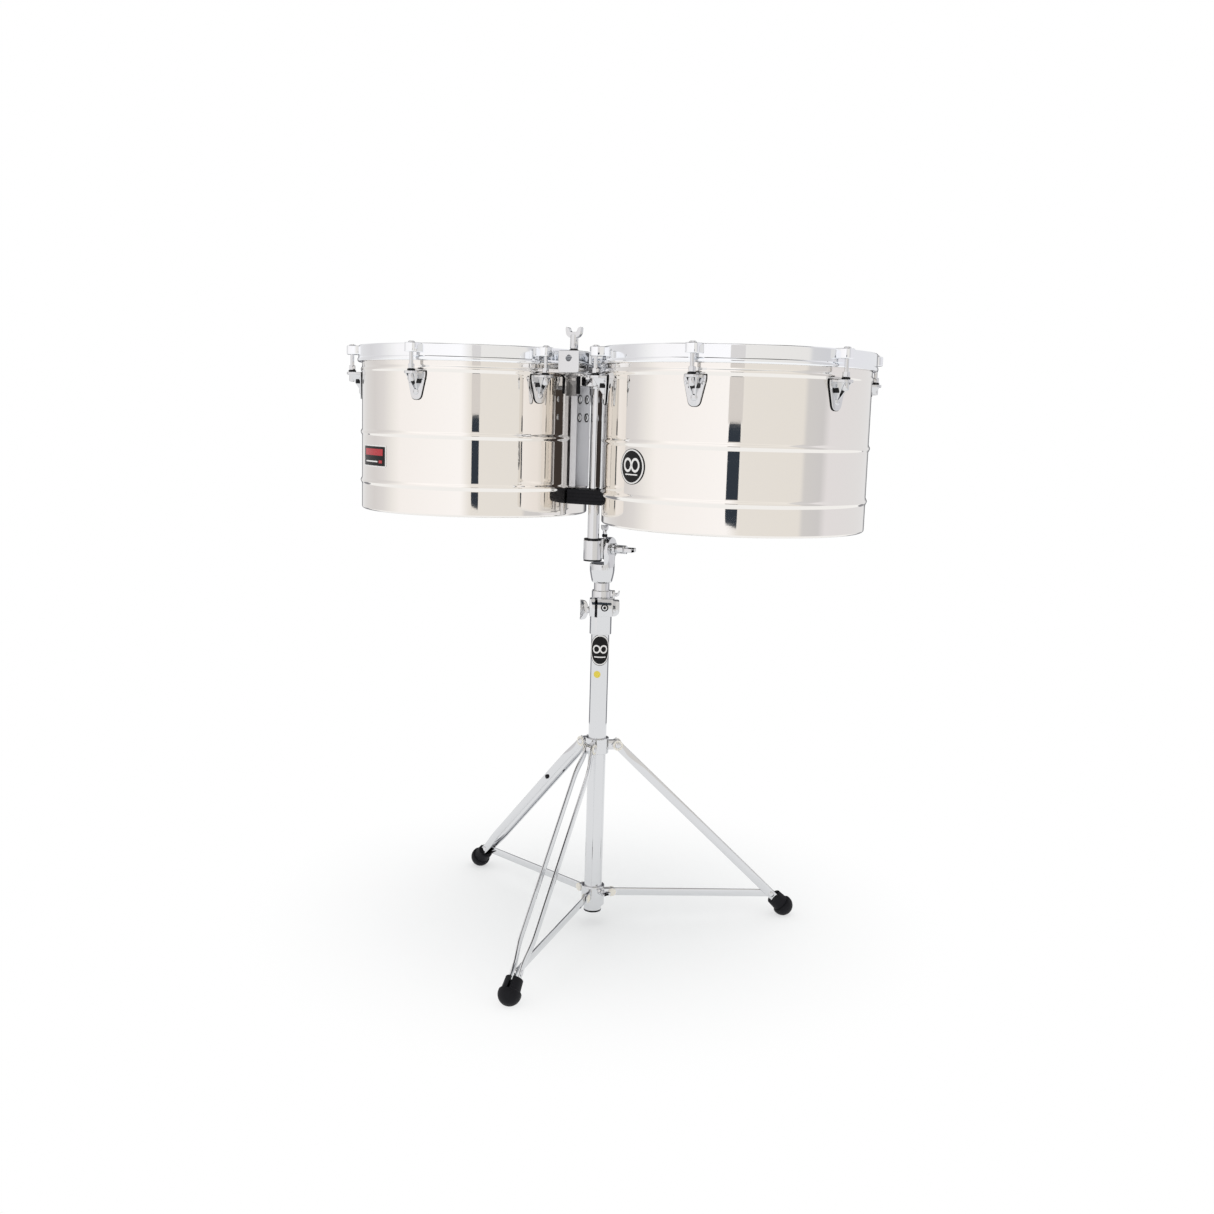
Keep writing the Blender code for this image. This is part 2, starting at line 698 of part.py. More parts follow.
def height_bolt(material):
    """The clamp's bolt, in its own frame along +X, with its wings at the -X end."""
    shank = cylinder(0.0030, -0.0260, 0.0225, 12, "X")
    nut = cylinder(0.0055, 0.0198, 0.0245, 6, "X")
    collar = cylinder(0.0055, -0.0230, -0.0193, 12, "X")
    to_minus_x = Matrix(((0, 0, -1), (0, 1, 0), (1, 0, 0))).to_4x4()
    wing = moved(wings(0.0165, 0.0205, 0.0350, 0.0045, 0.0080), to_minus_x)
    frame = turn_z(CLAMP_TURN) @ Matrix.Translation((0.0, -0.0220, 0.5450))
    place(combine(shank, [nut, collar, wing]), "height_wing_bolt", material, frame=frame)


# ---- Tripod ----
def leg_angle():
    return math.atan2(LEG_PIN[1] - FOOT_CENTRE[1], FOOT_CENTRE[0] - LEG_PIN[0])


def leg_frame(azimuth):
    """Origin on the leg's top pin, +X along the leg, +Y along the pin, +Z up and out."""
    lean = Matrix.Rotation(leg_angle(), 4, "Y")
    return turn_z(azimuth) @ Matrix.Translation((LEG_PIN[0], 0.0, LEG_PIN[1])) @ lean


def brace_pin():
    angle = leg_angle()
    return LEG_PIN[0] + BRACE_PIN_ALONG * math.cos(angle), LEG_PIN[1] - BRACE_PIN_ALONG * math.sin(angle)


def leg_collar(material):
    low, high = LEG_COLLAR
    ring = cylinder(COLLAR_RADIUS, low, high)
    ears, cuts = [], [cylinder(OUTER_TUBE + GAP, low - 0.002, high + 0.002)]
    for azimuth in LEG_AZIMUTHS:
        turn = turn_z(azimuth)
        ear = plate([(x, LEG_PIN[1] + z) for x, z in tab(0.0170, LEG_PIN[0], 0.0080)], 0.0080, "XZ")
        ears.append(moved(ear, turn))
        cuts.append(moved(cylinder(0.0034, -0.0060, 0.0060, 12, "Y", LEG_PIN), turn))
    place(combine(ring, ears, cuts), "leg_collar", material, (0.0, 0.0, low))


def brace_collar(material):
    low, high = BRACE_COLLAR
    ring = cylinder(COLLAR_RADIUS, low, high)
    add, cuts = [], [cylinder(OUTER_TUBE + 0.0004, low - 0.002, high + 0.002)]
    for azimuth in LEG_AZIMUTHS:
        turn = turn_z(azimuth)
        for side in (-1, 1):
            outline = [(x, COLLAR_PIN[1] + z) for x, z in tab(0.0175, COLLAR_PIN[0], 0.0065)]
            add.append(moved(plate(outline, 0.0025, "XZ", side * 0.00325), turn))
        cuts.append(moved(cylinder(0.0032, -0.0060, 0.0060, 12, "Y", COLLAR_PIN), turn))
    turn = turn_z(COLLAR_SCREW_AZIMUTH)
    add.append(moved(cylinder(0.0055, 0.0170, 0.0240, 12, "X", (0.0, COLLAR_SCREW_Z)), turn))
    cuts.append(moved(cylinder(0.0029, 0.0120, 0.0260, 12, "X", (0.0, COLLAR_SCREW_Z)), turn))
    place(combine(ring, add, cuts), "brace_collar", material, (0.0, 0.0, COLLAR_PIN[1]))


def collar_screw(material):
    to_x = Matrix(((0, 0, 1), (1, 0, 0), (0, 1, 0))).to_4x4()
    screw = wing_screw(
        (0.0026, 0.0158, 0.0300), (0.0045, 0.0240 + GAP, 0.0300), (0.0085, 0.0280, 0.0385, 0.0035, 0.0045), 10
    )
    frame = turn_z(COLLAR_SCREW_AZIMUTH) @ Matrix.Translation((0.0, 0.0, COLLAR_SCREW_Z))
    place(moved(screw, to_x), "collar_wing_screw", material, frame=frame)


def leg_mesh():
    """Two flat bars that bow apart, joined by the top pin, with the rivet heads of the brace's pivot."""
    half = BAR_THICK / 2
    outline = [(s, t + half) for s, t in BAR_LINE] + [(s, t - half) for s, t in reversed(BAR_LINE)]
    near = plate(outline, BAR_WIDTH)
    far = plate([(s, -t) for s, t in outline], BAR_WIDTH)
    pin = cylinder(0.0030, -0.0090, 0.0090, 12, "Y")
    heads = [
        cylinder(0.0050, *sorted((side * 0.0075, side * 0.0098)), 12, "Y", (s, 0.0))
        for s in (0.0, BRACE_PIN_ALONG)
        for side in (-1, 1)
    ]
    return combine(near, [far, pin, *heads])


def brace_mesh():
    """One flat bar from the collar's pin to the leg, in its own frame along +X."""
    start, end = Vector(COLLAR_PIN), Vector(brace_pin())
    length = (end - start).length
    half = BRACE_WIDTH / 2
    outline = [*arc((0.0, 0.0), half, 90, 270, 9), *arc((length, 0.0), half, -90, 90, 9)]
    bar = plate(outline, BAR_THICK, "XZ")
    pin = cylinder(0.0028, -0.0056, 0.0056, 14, "Y")
    heads = [cylinder(0.0046, *sorted((side * 0.0048, side * 0.0064)), 12, "Y") for side in (-1, 1)]
    return combine(bar, [pin, *heads])


def boot_mesh():
    """A rubber foot in the leg's frame: a ball and a sleeve, a pocket for the bars and a slot for the brace."""
    centre = math.hypot(FOOT_CENTRE[0] - LEG_PIN[0], LEG_PIN[1] - FOOT_CENTRE[1])

    def make_ball(bm):
        bmesh.ops.create_uvsphere(bm, u_segments=16, v_segments=9, radius=BOOT_RADIUS)
        bmesh.ops.rotate(bm, matrix=Matrix.Rotation(-leg_angle(), 3, "Y"), verts=bm.verts)
        bmesh.ops.translate(bm, vec=(centre, 0.0, 0.0), verts=bm.verts)

    sleeve = cylinder(BOOT_SLEEVE, BOOT_START, centre, 20, "X")
    pocket = block((BOOT_START - 0.002, -0.0083, -0.0073), (0.4145, 0.0083, 0.0073))
    slot = block((BOOT_START - 0.002, -0.0020, -0.0015), (0.4215, 0.0020, 0.0300))
    floor = block((-0.04, -0.03, -0.05), (0.04, 0.03, 0.0))
    to_world = Matrix.Translation((LEG_PIN[0], 0.0, LEG_PIN[1])) @ Matrix.Rotation(leg_angle(), 4, "Y")
    moved(floor, to_world.inverted() @ Matrix.Translation((FOOT_CENTRE[0], 0.0, 0.0)))
    return combine(solid(make_ball), [sleeve], [pocket, slot, floor])


def tripod(steel, rubber):
    leg_obj, brace_obj, boot_obj = leg_mesh(), brace_mesh(), boot_mesh()
    start, end = COLLAR_PIN, brace_pin()
    drop = math.atan2(start[1] - end[1], end[0] - start[0])
    for k, azimuth in enumerate(LEG_AZIMUTHS, 1):
        frame = leg_frame(azimuth)
        at_collar = Matrix.Translation((start[0], 0.0, start[1])) @ Matrix.Rotation(drop, 4, "Y")
        brace_frame = turn_z(azimuth) @ at_collar
        if k == 1:
            leg = place(leg_obj, "leg_1", steel, frame=frame)
            brace = place(brace_obj, "brace_1", steel, frame=brace_frame)
            boot = place(boot_obj, "foot_1", rubber, frame=frame)
        else:
            stand(f"leg_{k}", leg.data, frame)
            stand(f"brace_{k}", brace.data, brace_frame)
            stand(f"foot_{k}", boot.data, frame)


def main():
    clear_scene()
    parts = new_collection(PARTS)
    axis = bpy.data.objects.new("stand_axis", None)
    axis.location = STAND_AXIS
    parts.objects.link(axis)

    stainless = new_material("stainless", (0.80, 0.77, 0.72), 1.0, 0.12)
    chrome = new_material("chrome", (0.86, 0.87, 0.89), 1.0, 0.06)
    film = new_material("drum_film", (0.86, 0.86, 0.82), 0.0, 0.45)
    zinc = new_material("zinc", (0.62, 0.62, 0.63), 1.0, 0.30)
    rubber = new_material("rubber", (0.02, 0.02, 0.02), 0.0, 0.70)

    for drum in SHELL_RADIUS:
        shell(drum, stainless)
        head(drum, film)
        rim(drum, chrome)
        lugs_and_rods(drum, chrome, chrome)
        drum_bracket(drum, zinc)
    carrier(chrome)
    mast(chrome)
    accessory_clamp(chrome)
    accessory_screw(chrome)
    drum_spacer(rubber)
    tilter_socket(chrome)
    tilter_base(chrome)
    tilter_bolt(chrome)
    socket_screw(chrome)
    tube("inner_tube", INNER_TUBE, INNER_LOW, BASE_LOW - GAP, chrome)
    tube("outer_tube", OUTER_TUBE, TUBE_LOW, TUBE_HIGH, chrome)
    end_plug(rubber)
    memory_lock(chrome)
    memory_lock_screw(chrome)
    height_clamp(chrome)
    height_bolt(chrome)
    leg_collar(chrome)
    brace_collar(chrome)
    collar_screw(chrome)
    tripod(chrome, rubber)


main()
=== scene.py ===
"""A pair of stainless-steel timbales on a chromed, double-braced tripod stand.

Everything is worked out from the stand's own axis: +X runs from the smaller drum to the larger one, the
badge side faces -Y, and the floor is at z = 0. Each finished piece carries its place in its mesh.
"""

import math

import bmesh
import bpy
from bpy.props import FloatProperty, PointerProperty, StringProperty
from mathutils import Matrix, Vector


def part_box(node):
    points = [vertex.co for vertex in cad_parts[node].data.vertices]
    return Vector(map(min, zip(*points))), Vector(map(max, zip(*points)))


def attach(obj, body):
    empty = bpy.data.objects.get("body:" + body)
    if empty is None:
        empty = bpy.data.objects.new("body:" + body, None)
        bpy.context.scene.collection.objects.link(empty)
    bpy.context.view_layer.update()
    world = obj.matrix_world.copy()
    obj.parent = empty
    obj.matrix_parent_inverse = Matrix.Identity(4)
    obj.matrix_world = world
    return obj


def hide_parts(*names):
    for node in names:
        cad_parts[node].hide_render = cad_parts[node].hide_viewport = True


bl_info = {"name": "Timbales on a tripod stand", "version": (1, 0, 0), "blender": (4, 5, 0),
           "location": "3D View > Sidebar > Timbales",
           "description": "Builds a pair of metal timbales, their fittings and their folding stand",
           "category": "Add Mesh"}

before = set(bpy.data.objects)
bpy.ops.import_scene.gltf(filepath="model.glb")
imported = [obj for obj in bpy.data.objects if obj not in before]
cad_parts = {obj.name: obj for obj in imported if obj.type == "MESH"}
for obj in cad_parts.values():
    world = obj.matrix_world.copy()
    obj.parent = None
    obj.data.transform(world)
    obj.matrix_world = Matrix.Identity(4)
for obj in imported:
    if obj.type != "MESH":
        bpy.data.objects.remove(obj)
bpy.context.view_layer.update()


# ---- Places taken from the frame ----
def middle(node):
    """The centre of a node's box."""
    low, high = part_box(node)
    return (low + high) / 2


STAND = Matrix.Translation((middle("outer_tube").x, middle("outer_tube").y, 0.0))
DRUMS = ("small", "large")
BEAD_PROUD = 0.0025
CENTRE = {d: STAND.inverted() @ Vector((middle(f"{d}_shell").x, middle(f"{d}_shell").y, 0.0))
          for d in DRUMS}
RADIUS = {d: (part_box(f"{d}_shell")[1].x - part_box(f"{d}_shell")[0].x) / 2 - BEAD_PROUD for d in DRUMS}
LUG_TURN = {"small": 32.0, "large": 33.0}
ROD_OUT = 0.0165
MAST = (-0.0080, -0.0210)
MAST_R = 0.0095
MAST_SCREW = (0.0070, -0.0090)
TILT_Z = 0.6450
CLAMP_TURN = 25.0
LEG_AZIMUTHS = (35.1, 155.1, 275.1)
LEG_PIN = (0.0343, 0.3126)
FOOT = (0.3401, 0.0165)
BRACE_PIN = 0.3920
COLLAR_PIN = (0.0326, 0.0531)
COLLAR_SCREW = (-25.0, 0.0600)
EAR = (0.9478, 0.9620)
LEDGE_TOP = 0.9195
STUD_Z = 0.9100
CLAMP_BOLT_Z = 0.5450
STOP_Z = 0.5680
SHELL_TOP, SHELL_FOOT = 0.9500, 0.6974
BEAD_HEIGHTS = (0.9243, 0.8228, 0.7438)
PAIR = (-1, 1)
GAP = 0.0003
ROUND = 192  # facets round anything as wide as a drum


# ---- Materials ----
def linear(colour):
    """An sRGB hex colour as linear RGBA."""
    parts = [int(colour[i : i + 2], 16) / 255 for i in (1, 3, 5)]
    return (*[c / 12.92 if c <= 0.04045 else ((c + 0.055) / 1.055) ** 2.4 for c in parts], 1.0)


def add_node(tree, kind, settings=(), values=(), links=()):
    """A node with its settings, its input values and its inputs' links from other nodes' sockets."""
    node = tree.nodes.new(kind)
    for name, value in dict(settings).items():
        setattr(node, name, value)
    for name, value in dict(values).items():
        node.inputs[name].default_value = value
    for name, socket in dict(links).items():
        tree.links.new(socket, node.inputs[name])
    return node


def principled(name, colour, metallic, roughness, **more):
    """A new material, its node tree and its shader."""
    material = bpy.data.materials.new(name)
    material.use_nodes = True
    shader = material.node_tree.nodes["Principled BSDF"]
    shader.inputs["Base Color"].default_value = linear(colour)
    shader.inputs["Metallic"].default_value = metallic
    shader.inputs["Roughness"].default_value = roughness
    for socket, value in more.items():
        shader.inputs[socket.replace("_", " ")].default_value = value
    material.diffuse_color = linear(colour)
    return material, material.node_tree, shader


def drifting(tree, shader, scale, rough, bump=None, stretch=(1.0, 1.0, 1.0)):
    """Roughness that drifts between two values over a noise, and a fine bump if one is given."""
    place = add_node(tree, "ShaderNodeTexCoord").outputs["Object"]
    turned_place = add_node(tree, "ShaderNodeMapping", values={"Scale": stretch}, links={"Vector": place})
    noise = add_node(tree, "ShaderNodeTexNoise", values={"Scale": scale, "Detail": 4.0},
                     links={"Vector": turned_place.outputs[0]})
    spread = add_node(tree, "ShaderNodeMapRange", values={"To Min": rough[0], "To Max": rough[1]},
                      links={"Value": noise.outputs[0]})
    tree.links.new(spread.outputs[0], shader.inputs["Roughness"])
    if bump:
        grain = add_node(tree, "ShaderNodeTexNoise", values={"Scale": bump[0], "Detail": 3.0},
                         links={"Vector": turned_place.outputs[0]})
        relief = add_node(tree, "ShaderNodeBump", values={"Strength": bump[1], "Distance": bump[2]},
                          links={"Height": grain.outputs[0]})
        tree.links.new(relief.outputs[0], shader.inputs["Normal"])
    return noise


def make_materials(colours):
    """Every finish on the object, by name."""
    made = {}

    def add(finish_name, name, colour, metallic, roughness, *drift, **more):
        made[finish_name], tree, shader = principled(name, colour, metallic, roughness, **more)
        return tree, shader, drifting(tree, shader, *drift)

    # Rolled stainless sheet, mirror buffed: a warm grey metal whose reflections stay sharp. The buffing
    # leaves faint bands along the height, about 3 mm apart so that they show, and slow changes of gloss.
    add("stainless", "mirror_buffed_stainless", colours.stainless, 1.0, 0.06, 9.0, (0.015, 0.045),
        (14.0, 0.012, 0.0002), (1.0, 1.0, 22.0))

    # Bright nickel-chrome plate on steel: neutral, very slightly blue, and glassy.
    add("chrome", "bright_chrome_plate", colours.chrome, 1.0, 0.05, 45.0, (0.02, 0.07))

    # The counterhoops' plate: the same glassy chrome with a painted highlight, its colour paler and brighter
    # than the other chrome's.
    add("hoop_chrome", "hoop_chrome_painted_brighter", "#f4f6f9", 1.0, 0.04, 30.0, (0.02, 0.06))

    # Chrome over a zinc casting: the same plate, a little softer, with the casting's shallow orange peel.
    add("cast_chrome", "chrome_plated_casting", colours.chrome, 1.0, 0.10, 60.0, (0.03, 0.10),
        (260.0, 0.08, 0.0003))

    # Satin zinc plate on pressed steel: grey, and only softly glossy.
    add("satin", "satin_zinc_plate", colours.bracket, 0.85, 0.45, 120.0, (0.38, 0.52),
        (420.0, 0.10, 0.0003))

    # Polyester drum film with a sprayed white coating: matt and faintly gritty, grit 0.4 mm drawn at 1 mm.
    add("film", "coated_drum_film", colours.film, 0.0, 0.55, 30.0, (0.48, 0.66), (900.0, 0.35, 0.0004),
        Specular_IOR_Level=0.35)

    # Extruded aluminium flesh hoop: pale, brushed along its length.
    add("aluminium", "brushed_aluminium_hoop", "#c9cbcc", 1.0, 0.30, 70.0, (0.22, 0.38),
        (300.0, 0.08, 0.0003), (1.0, 1.0, 8.0))

    # Moulded natural rubber: near black, matt, with a fine bloom.
    tree, shader, noise = add("rubber", "moulded_black_rubber", colours.rubber, 0.0, 0.6, 90.0,
                              (0.42, 0.68), (520.0, 0.30, 0.0006), Specular_IOR_Level=0.18)
    bloom = add_node(tree, "ShaderNodeMix", {"data_type": "RGBA"},
                     {"A": linear(colours.rubber), "B": linear("#17171d")}, {"Factor": noise.outputs[0]})
    tree.links.new(bloom.outputs["Result"], shader.inputs["Base Color"])

    # Injection-moulded nylon, black: washers and rivet seats, with a low sheen.
    add("nylon", "moulded_black_nylon", "#0b0c0f", 0.0, 0.42, 150.0, (0.34, 0.50), (700.0, 0.12, 0.0003),
        Specular_IOR_Level=0.25)

    # The same nylon undyed: the milky bushings on the stand's pivots.
    add("pale_nylon", "moulded_natural_nylon", "#e6e2d8", 0.0, 0.38, 150.0, (0.32, 0.46),
        Subsurface_Weight=0.15, Subsurface_Radius=(0.002, 0.0018, 0.0014))

    # Baked enamel on a thin metal badge: black, glossy, with its print in white and red.
    add("enamel", "black_badge_enamel", "#08080b", 0.0, 0.3, 80.0, (0.26, 0.36), Specular_IOR_Level=0.2)
    add("white_print", "white_badge_enamel", "#e9e8e6", 0.0, 0.25, 80.0, (0.20, 0.32))
    add("red_print", "red_badge_enamel", "#b3202c", 0.0, 0.25, 80.0, (0.20, 0.32))

    # A paper dot stuck on the tube: matt yellow, with soft fibres.
    add("yellow_dot", "yellow_paper_label", "#e3cf4f", 0.0, 0.7, 200.0, (0.62, 0.80), (900.0, 0.2, 0.0002))
    return made


FINISH = {}

# ---- Shapes: each returns a working object ----
TO_X = Matrix(((0, 0, 1), (1, 0, 0), (0, 1, 0))).to_4x4()
TO_Y = Matrix(((1, 0, 0), (0, 0, 1), (0, -1, 0))).to_4x4()
TO_XZ = Matrix(((1, 0, 0), (0, 0, -1), (0, 1, 0))).to_4x4()
AXES = {"X": TO_X, "Y": TO_Y, "Z": Matrix.Identity(4), "XZ": TO_XZ}


def shift(x=0.0, y=0.0, z=0.0):
    """A move."""
    return Matrix.Translation((x, y, z))


def turn(degrees, axis="Z"):
    """A turn about an axis through the origin."""
    return Matrix.Rotation(math.radians(degrees), 4, axis)


def working(bm):
    """A bmesh as a new object, ready for more work."""
    mesh = bpy.data.meshes.new("working")
    bm.to_mesh(mesh)
    bm.free()
    obj = bpy.data.objects.new("working", mesh)
    bpy.context.scene.collection.objects.link(obj)
    return obj


def baked(obj):
    """The object's mesh with its modifiers worked out, in place of the one it had."""
    graph = bpy.context.evaluated_depsgraph_get()
    mesh = bpy.data.meshes.new_from_object(obj.evaluated_get(graph))
    obj.modifiers.clear()
    obj.data = mesh
    return obj


def soften(obj, width, segments=2, angle=32):
    """Rounds the edges that turn by more than an angle."""
    if width:
        step = obj.modifiers.new("round", "BEVEL")
        step.width = width
        step.segments = segments
        step.limit_method = "ANGLE"
        step.angle_limit = math.radians(angle)
        step.miter_outer = "MITER_ARC"
        step.use_clamp_overlap = True
        baked(obj)
    return obj


def moved(obj, *matrices):
    """The same object, its mesh put through the matrices from the last to the first."""
    for matrix in reversed(matrices):
        obj.data.transform(matrix)
    return obj


def rounded(points, radius, count=5):
    """An outline with its corners rounded; radius is one number or one for each corner."""
    result = []
    total = len(points)
    for i, point in enumerate(points):
        here = Vector(point)
        reach = radius[i] if isinstance(radius, (list, tuple)) else radius
        if not reach:
            result.append(tuple(here))
            continue
        before, after = Vector(points[i - 1]) - here, Vector(points[(i + 1) % total]) - here
        size = min(reach, before.length * 0.49, after.length * 0.49)
        start, end = here + before.normalized() * size, here + after.normalized() * size
        for k in range(count + 1):
            t = k / count
            result.append(tuple(start * (1 - t) ** 2 + here * 2 * t * (1 - t) + end * t**2))
    return result


def corners(x0, y0, x1, y1):
    """A rectangle's outline."""
    return [(x0, y0), (x1, y0), (x1, y1), (x0, y1)]


def arc(centre, radius, start, end, count):
    """Points along an arc, both ends included."""
    angles = [math.radians(start + (end - start) * i / count) for i in range(count + 1)]
    return [(centre[0] + radius * math.cos(a), centre[1] + radius * math.sin(a)) for a in angles]


def turned(profile, steps=64, soft=0.0, segments=2, angle=32):
    """A profile of (radius, height) spun about Z, closed on itself unless both its ends lie on the axis."""
    bm = bmesh.new()
    verts = [bm.verts.new((radius, 0.0, height)) for radius, height in profile]
    ends_on_axis = profile[0][0] < 1e-7 and profile[-1][0] < 1e-7
    pairs = zip(verts, verts[1:] if ends_on_axis else [*verts[1:], verts[0]])
    edges = [bm.edges.new(pair) for pair in pairs]
    bmesh.ops.spin(bm, geom=[*verts, *edges], cent=(0, 0, 0), axis=(0, 0, 1), angle=math.tau, steps=steps,
                   use_merge=True)
    bmesh.ops.remove_doubles(bm, verts=bm.verts, dist=1e-6)
    bmesh.ops.dissolve_degenerate(bm, edges=bm.edges, dist=1e-7)
    bmesh.ops.recalc_face_normals(bm, faces=bm.faces)
    return soften(working(bm), soft, segments, angle)


def band(inner, outer, low, high, steps=64, soft=0.0):
    """A plain ring round Z."""
    return turned([(inner, low), (outer, low), (outer, high), (inner, high)], steps, soft)


def slab(outline, low, high, plane="Z", soft=0.0, segments=2):
    """A flat outline made thick from low to high along the plane's normal."""
    bm = bmesh.new()
    face = bm.faces.new([bm.verts.new((x, y, low)) for x, y in outline])
    top = bmesh.ops.extrude_face_region(bm, geom=[face])
    bmesh.ops.translate(bm, vec=(0, 0, high - low),
                        verts=[v for v in top["geom"] if isinstance(v, bmesh.types.BMVert)])
    bmesh.ops.recalc_face_normals(bm, faces=bm.faces)
    return soften(moved(working(bm), AXES[plane]), soft, segments)


def block(low, high, soft=0.0, segments=3):
    """A box between two corners."""
    bm = bmesh.new()
    bmesh.ops.create_cube(bm, size=1.0)
    bmesh.ops.scale(bm, vec=[b - a for a, b in zip(low, high)], verts=bm.verts)
    bmesh.ops.translate(bm, vec=[(a + b) / 2 for a, b in zip(low, high)], verts=bm.verts)
    return soften(working(bm), soft, segments)


def pin(radius, low, high, axis="Z", at=(0.0, 0.0), sides=32, soft=0.0, segments=2):
    """A cylinder; at holds its two other coordinates, in X, Y, Z order."""
    bm = bmesh.new()
    bmesh.ops.create_cone(bm, cap_ends=True, segments=sides, radius1=radius, radius2=radius,
                          depth=high - low)
    half = (low + high) / 2
    centre = {"X": (half, *at), "Y": (at[0], half, at[1]), "Z": (*at, half)}[axis]
    return soften(moved(working(bm), shift(*centre), AXES[axis]), soft, segments)


def dome(radius, height, low=0.0, sides=24):
    """A screw's or rivet's domed head standing on z = low."""
    curve = [(radius * math.cos(math.radians(a)), low + height * math.sin(math.radians(a)))
             for a in range(0, 91, 15)]
    curve[-1] = (0.0, low + height)
    return turned([(0.0, low - 0.0006), (radius, low - 0.0006), *curve], sides)


def joined(base, add=(), cut=()):
    """Some shapes joined to a base, and others cut out of it."""
    for operation, others in (("UNION", add), ("DIFFERENCE", cut)):
        for other in others:
            step = base.modifiers.new(operation, "BOOLEAN")
            step.operation = operation
            step.object = other
            step.solver = "EXACT"
    baked(base)
    if not base.data.polygons:
        raise RuntimeError("a boolean left nothing")
    for other in (*add, *cut):
        bpy.data.objects.remove(other, do_unlink=True)
    return base


def finish(obj, name, body, finish_name, nodes=(), place=None, smooth=30, copy=False):
    """Names a shape, puts it in its place on the stand, gives it its finish and body, and hides the frame's
    nodes that it stands in for.
    """
    if copy:
        obj = bpy.data.objects.new(name, obj.data.copy())
        bpy.context.scene.collection.objects.link(obj)
    mesh = obj.data
    mesh.transform(STAND @ (place or Matrix.Identity(4)))
    obj.name = mesh.name = name
    mesh.materials.clear()
    mesh.materials.append(FINISH[finish_name])
    mesh.shade_smooth()
    mesh.set_sharp_from_angle(angle=math.radians(smooth))
    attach(obj, body)
    if nodes:
        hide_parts(*nodes)
    return obj


def drop(*objects):
    """Removes shapes that were only there to be copied."""
    for obj in objects:
        bpy.data.objects.remove(obj, do_unlink=True)


# ---- Drums ----
def shell_profile(radius):
    """Down the outside with its three rolled beads, round the bottom edge and up the inside."""
    points = [(radius, SHELL_TOP)]
    for height in BEAD_HEIGHTS:
        for k in range(17):
            t = 1 - k / 8
            points.append((radius + 0.0022 * math.cos(math.pi / 2 * t) ** 2, height + 0.0062 * t))
        points.append((radius, height - 0.0070))
        points.insert(-18, (radius, height + 0.0070))
    points += [(radius, 0.7018), (radius, 0.7010)]
    points += arc((radius - 0.0034, 0.7008), 0.0034, 0, -90, 6)
    points += [(radius - 0.0070, SHELL_FOOT), (radius - 0.0076, 0.6981), (radius - 0.0070, 0.6988)]
    points += arc((radius - 0.0036, 0.7012), 0.0022, -90, 0, 4)
    points += [(radius - 0.0014, SHELL_TOP)]
    return [(max(r, 0.0), z) for r, z in points]


def rim_profile(radius):
    """The pressed counterhoop: a rolled top edge, a straight band, and a bead at its foot."""
    outer, wall = radius + 0.0062, radius + 0.0042
    return [(outer - 0.0001, 0.9608), (outer, 0.9602), (outer, 0.9596), (outer, 0.9438), (outer, 0.9432),
            (outer + 0.0006, 0.9424), (outer + 0.0012, 0.9412), (outer + 0.0014, 0.9396),
            (outer + 0.0012, 0.9380), (outer + 0.0005, 0.9367), (outer - 0.0006, 0.9363),
            (wall + 0.0002, 0.9364), (wall, 0.9370), (wall, 0.9443), (radius + 0.0015, 0.9443),
            (radius + 0.0013, 0.9446), (radius + 0.0013, 0.9456), (radius + 0.0016, 0.9460),
            (wall - 0.0002, 0.9460), (wall, 0.9464), (wall, 0.9606), (wall + 0.0003, 0.9616),
            (wall + 0.0010, 0.9621), (outer - 0.0005, 0.9617)]


def lug_places(drum):
    """The number and the place of each of a drum's six lugs."""
    for k in range(6):
        yield k + 1, shift(*CENTRE[drum]) @ turn(LUG_TURN[drum] + 60 * k) @ shift(RADIUS[drum])


def build_shell(drum):
    """The shell, open below, in one piece with its beads."""
    finish(turned(shell_profile(RADIUS[drum]), ROUND), f"{drum}_drum_shell", "drum_carrier", "stainless",
           [f"{drum}_shell"], shift(*CENTRE[drum]), 40)


def build_head(drum):
    """The film, dished a little at its collar, and the hoop it is held in."""
    radius = RADIUS[drum]
    film = [(0.0, 0.9512), (radius * 0.5, 0.9512), (radius - 0.0060, 0.9512), (radius - 0.0008, 0.9511),
            (radius + 0.0005, 0.9507), (radius + 0.0009, 0.9500), (radius + 0.0009, 0.9441),
            (radius + 0.0004, 0.9441), (radius + 0.0004, 0.9500), (radius, 0.9504),
            (radius - 0.0060, 0.95045), (0.0, 0.95045)]
    place = shift(*CENTRE[drum])
    finish(turned(film, ROUND), f"{drum}_film", "drum_carrier", "film", [f"{drum}_head"], place, 40)
    hoop = band(radius + 0.0005, radius + 0.0038, 0.9385, 0.9440, 128, 0.0005)
    finish(hoop, f"{drum}_flesh_hoop", "drum_carrier", "aluminium", place=place)


def build_rim(drum):
    """The hoop with its six D-shaped ears."""
    radius = RADIUS[drum]
    rod = radius + ROD_OUT
    outline = rounded([(radius + 0.0050, -0.0125), (rod + 0.0015, -0.0112), (rod + 0.0088, -0.0070),
                       (rod + 0.0088, 0.0070), (rod + 0.0015, 0.0112), (radius + 0.0050, 0.0125)],
                      [0, 0.004, 0.006, 0.006, 0.004, 0], 4)
    ears, holes = [], []
    for k in range(6):
        place = turn(LUG_TURN[drum] + 60 * k)
        ears.append(moved(slab(outline, EAR[0], EAR[1], soft=0.0014, segments=3), place))
        holes.append(moved(pin(0.0036, EAR[0] - 0.002, EAR[1] + 0.002, at=(rod, 0.0), sides=24), place))
    hoop = joined(turned(rim_profile(radius), ROUND), ears, holes)
    finish(hoop, f"{drum}_counterhoop", "drum_carrier", "hoop_chrome", [f"{drum}_rim"],
           shift(*CENTRE[drum]), 34)


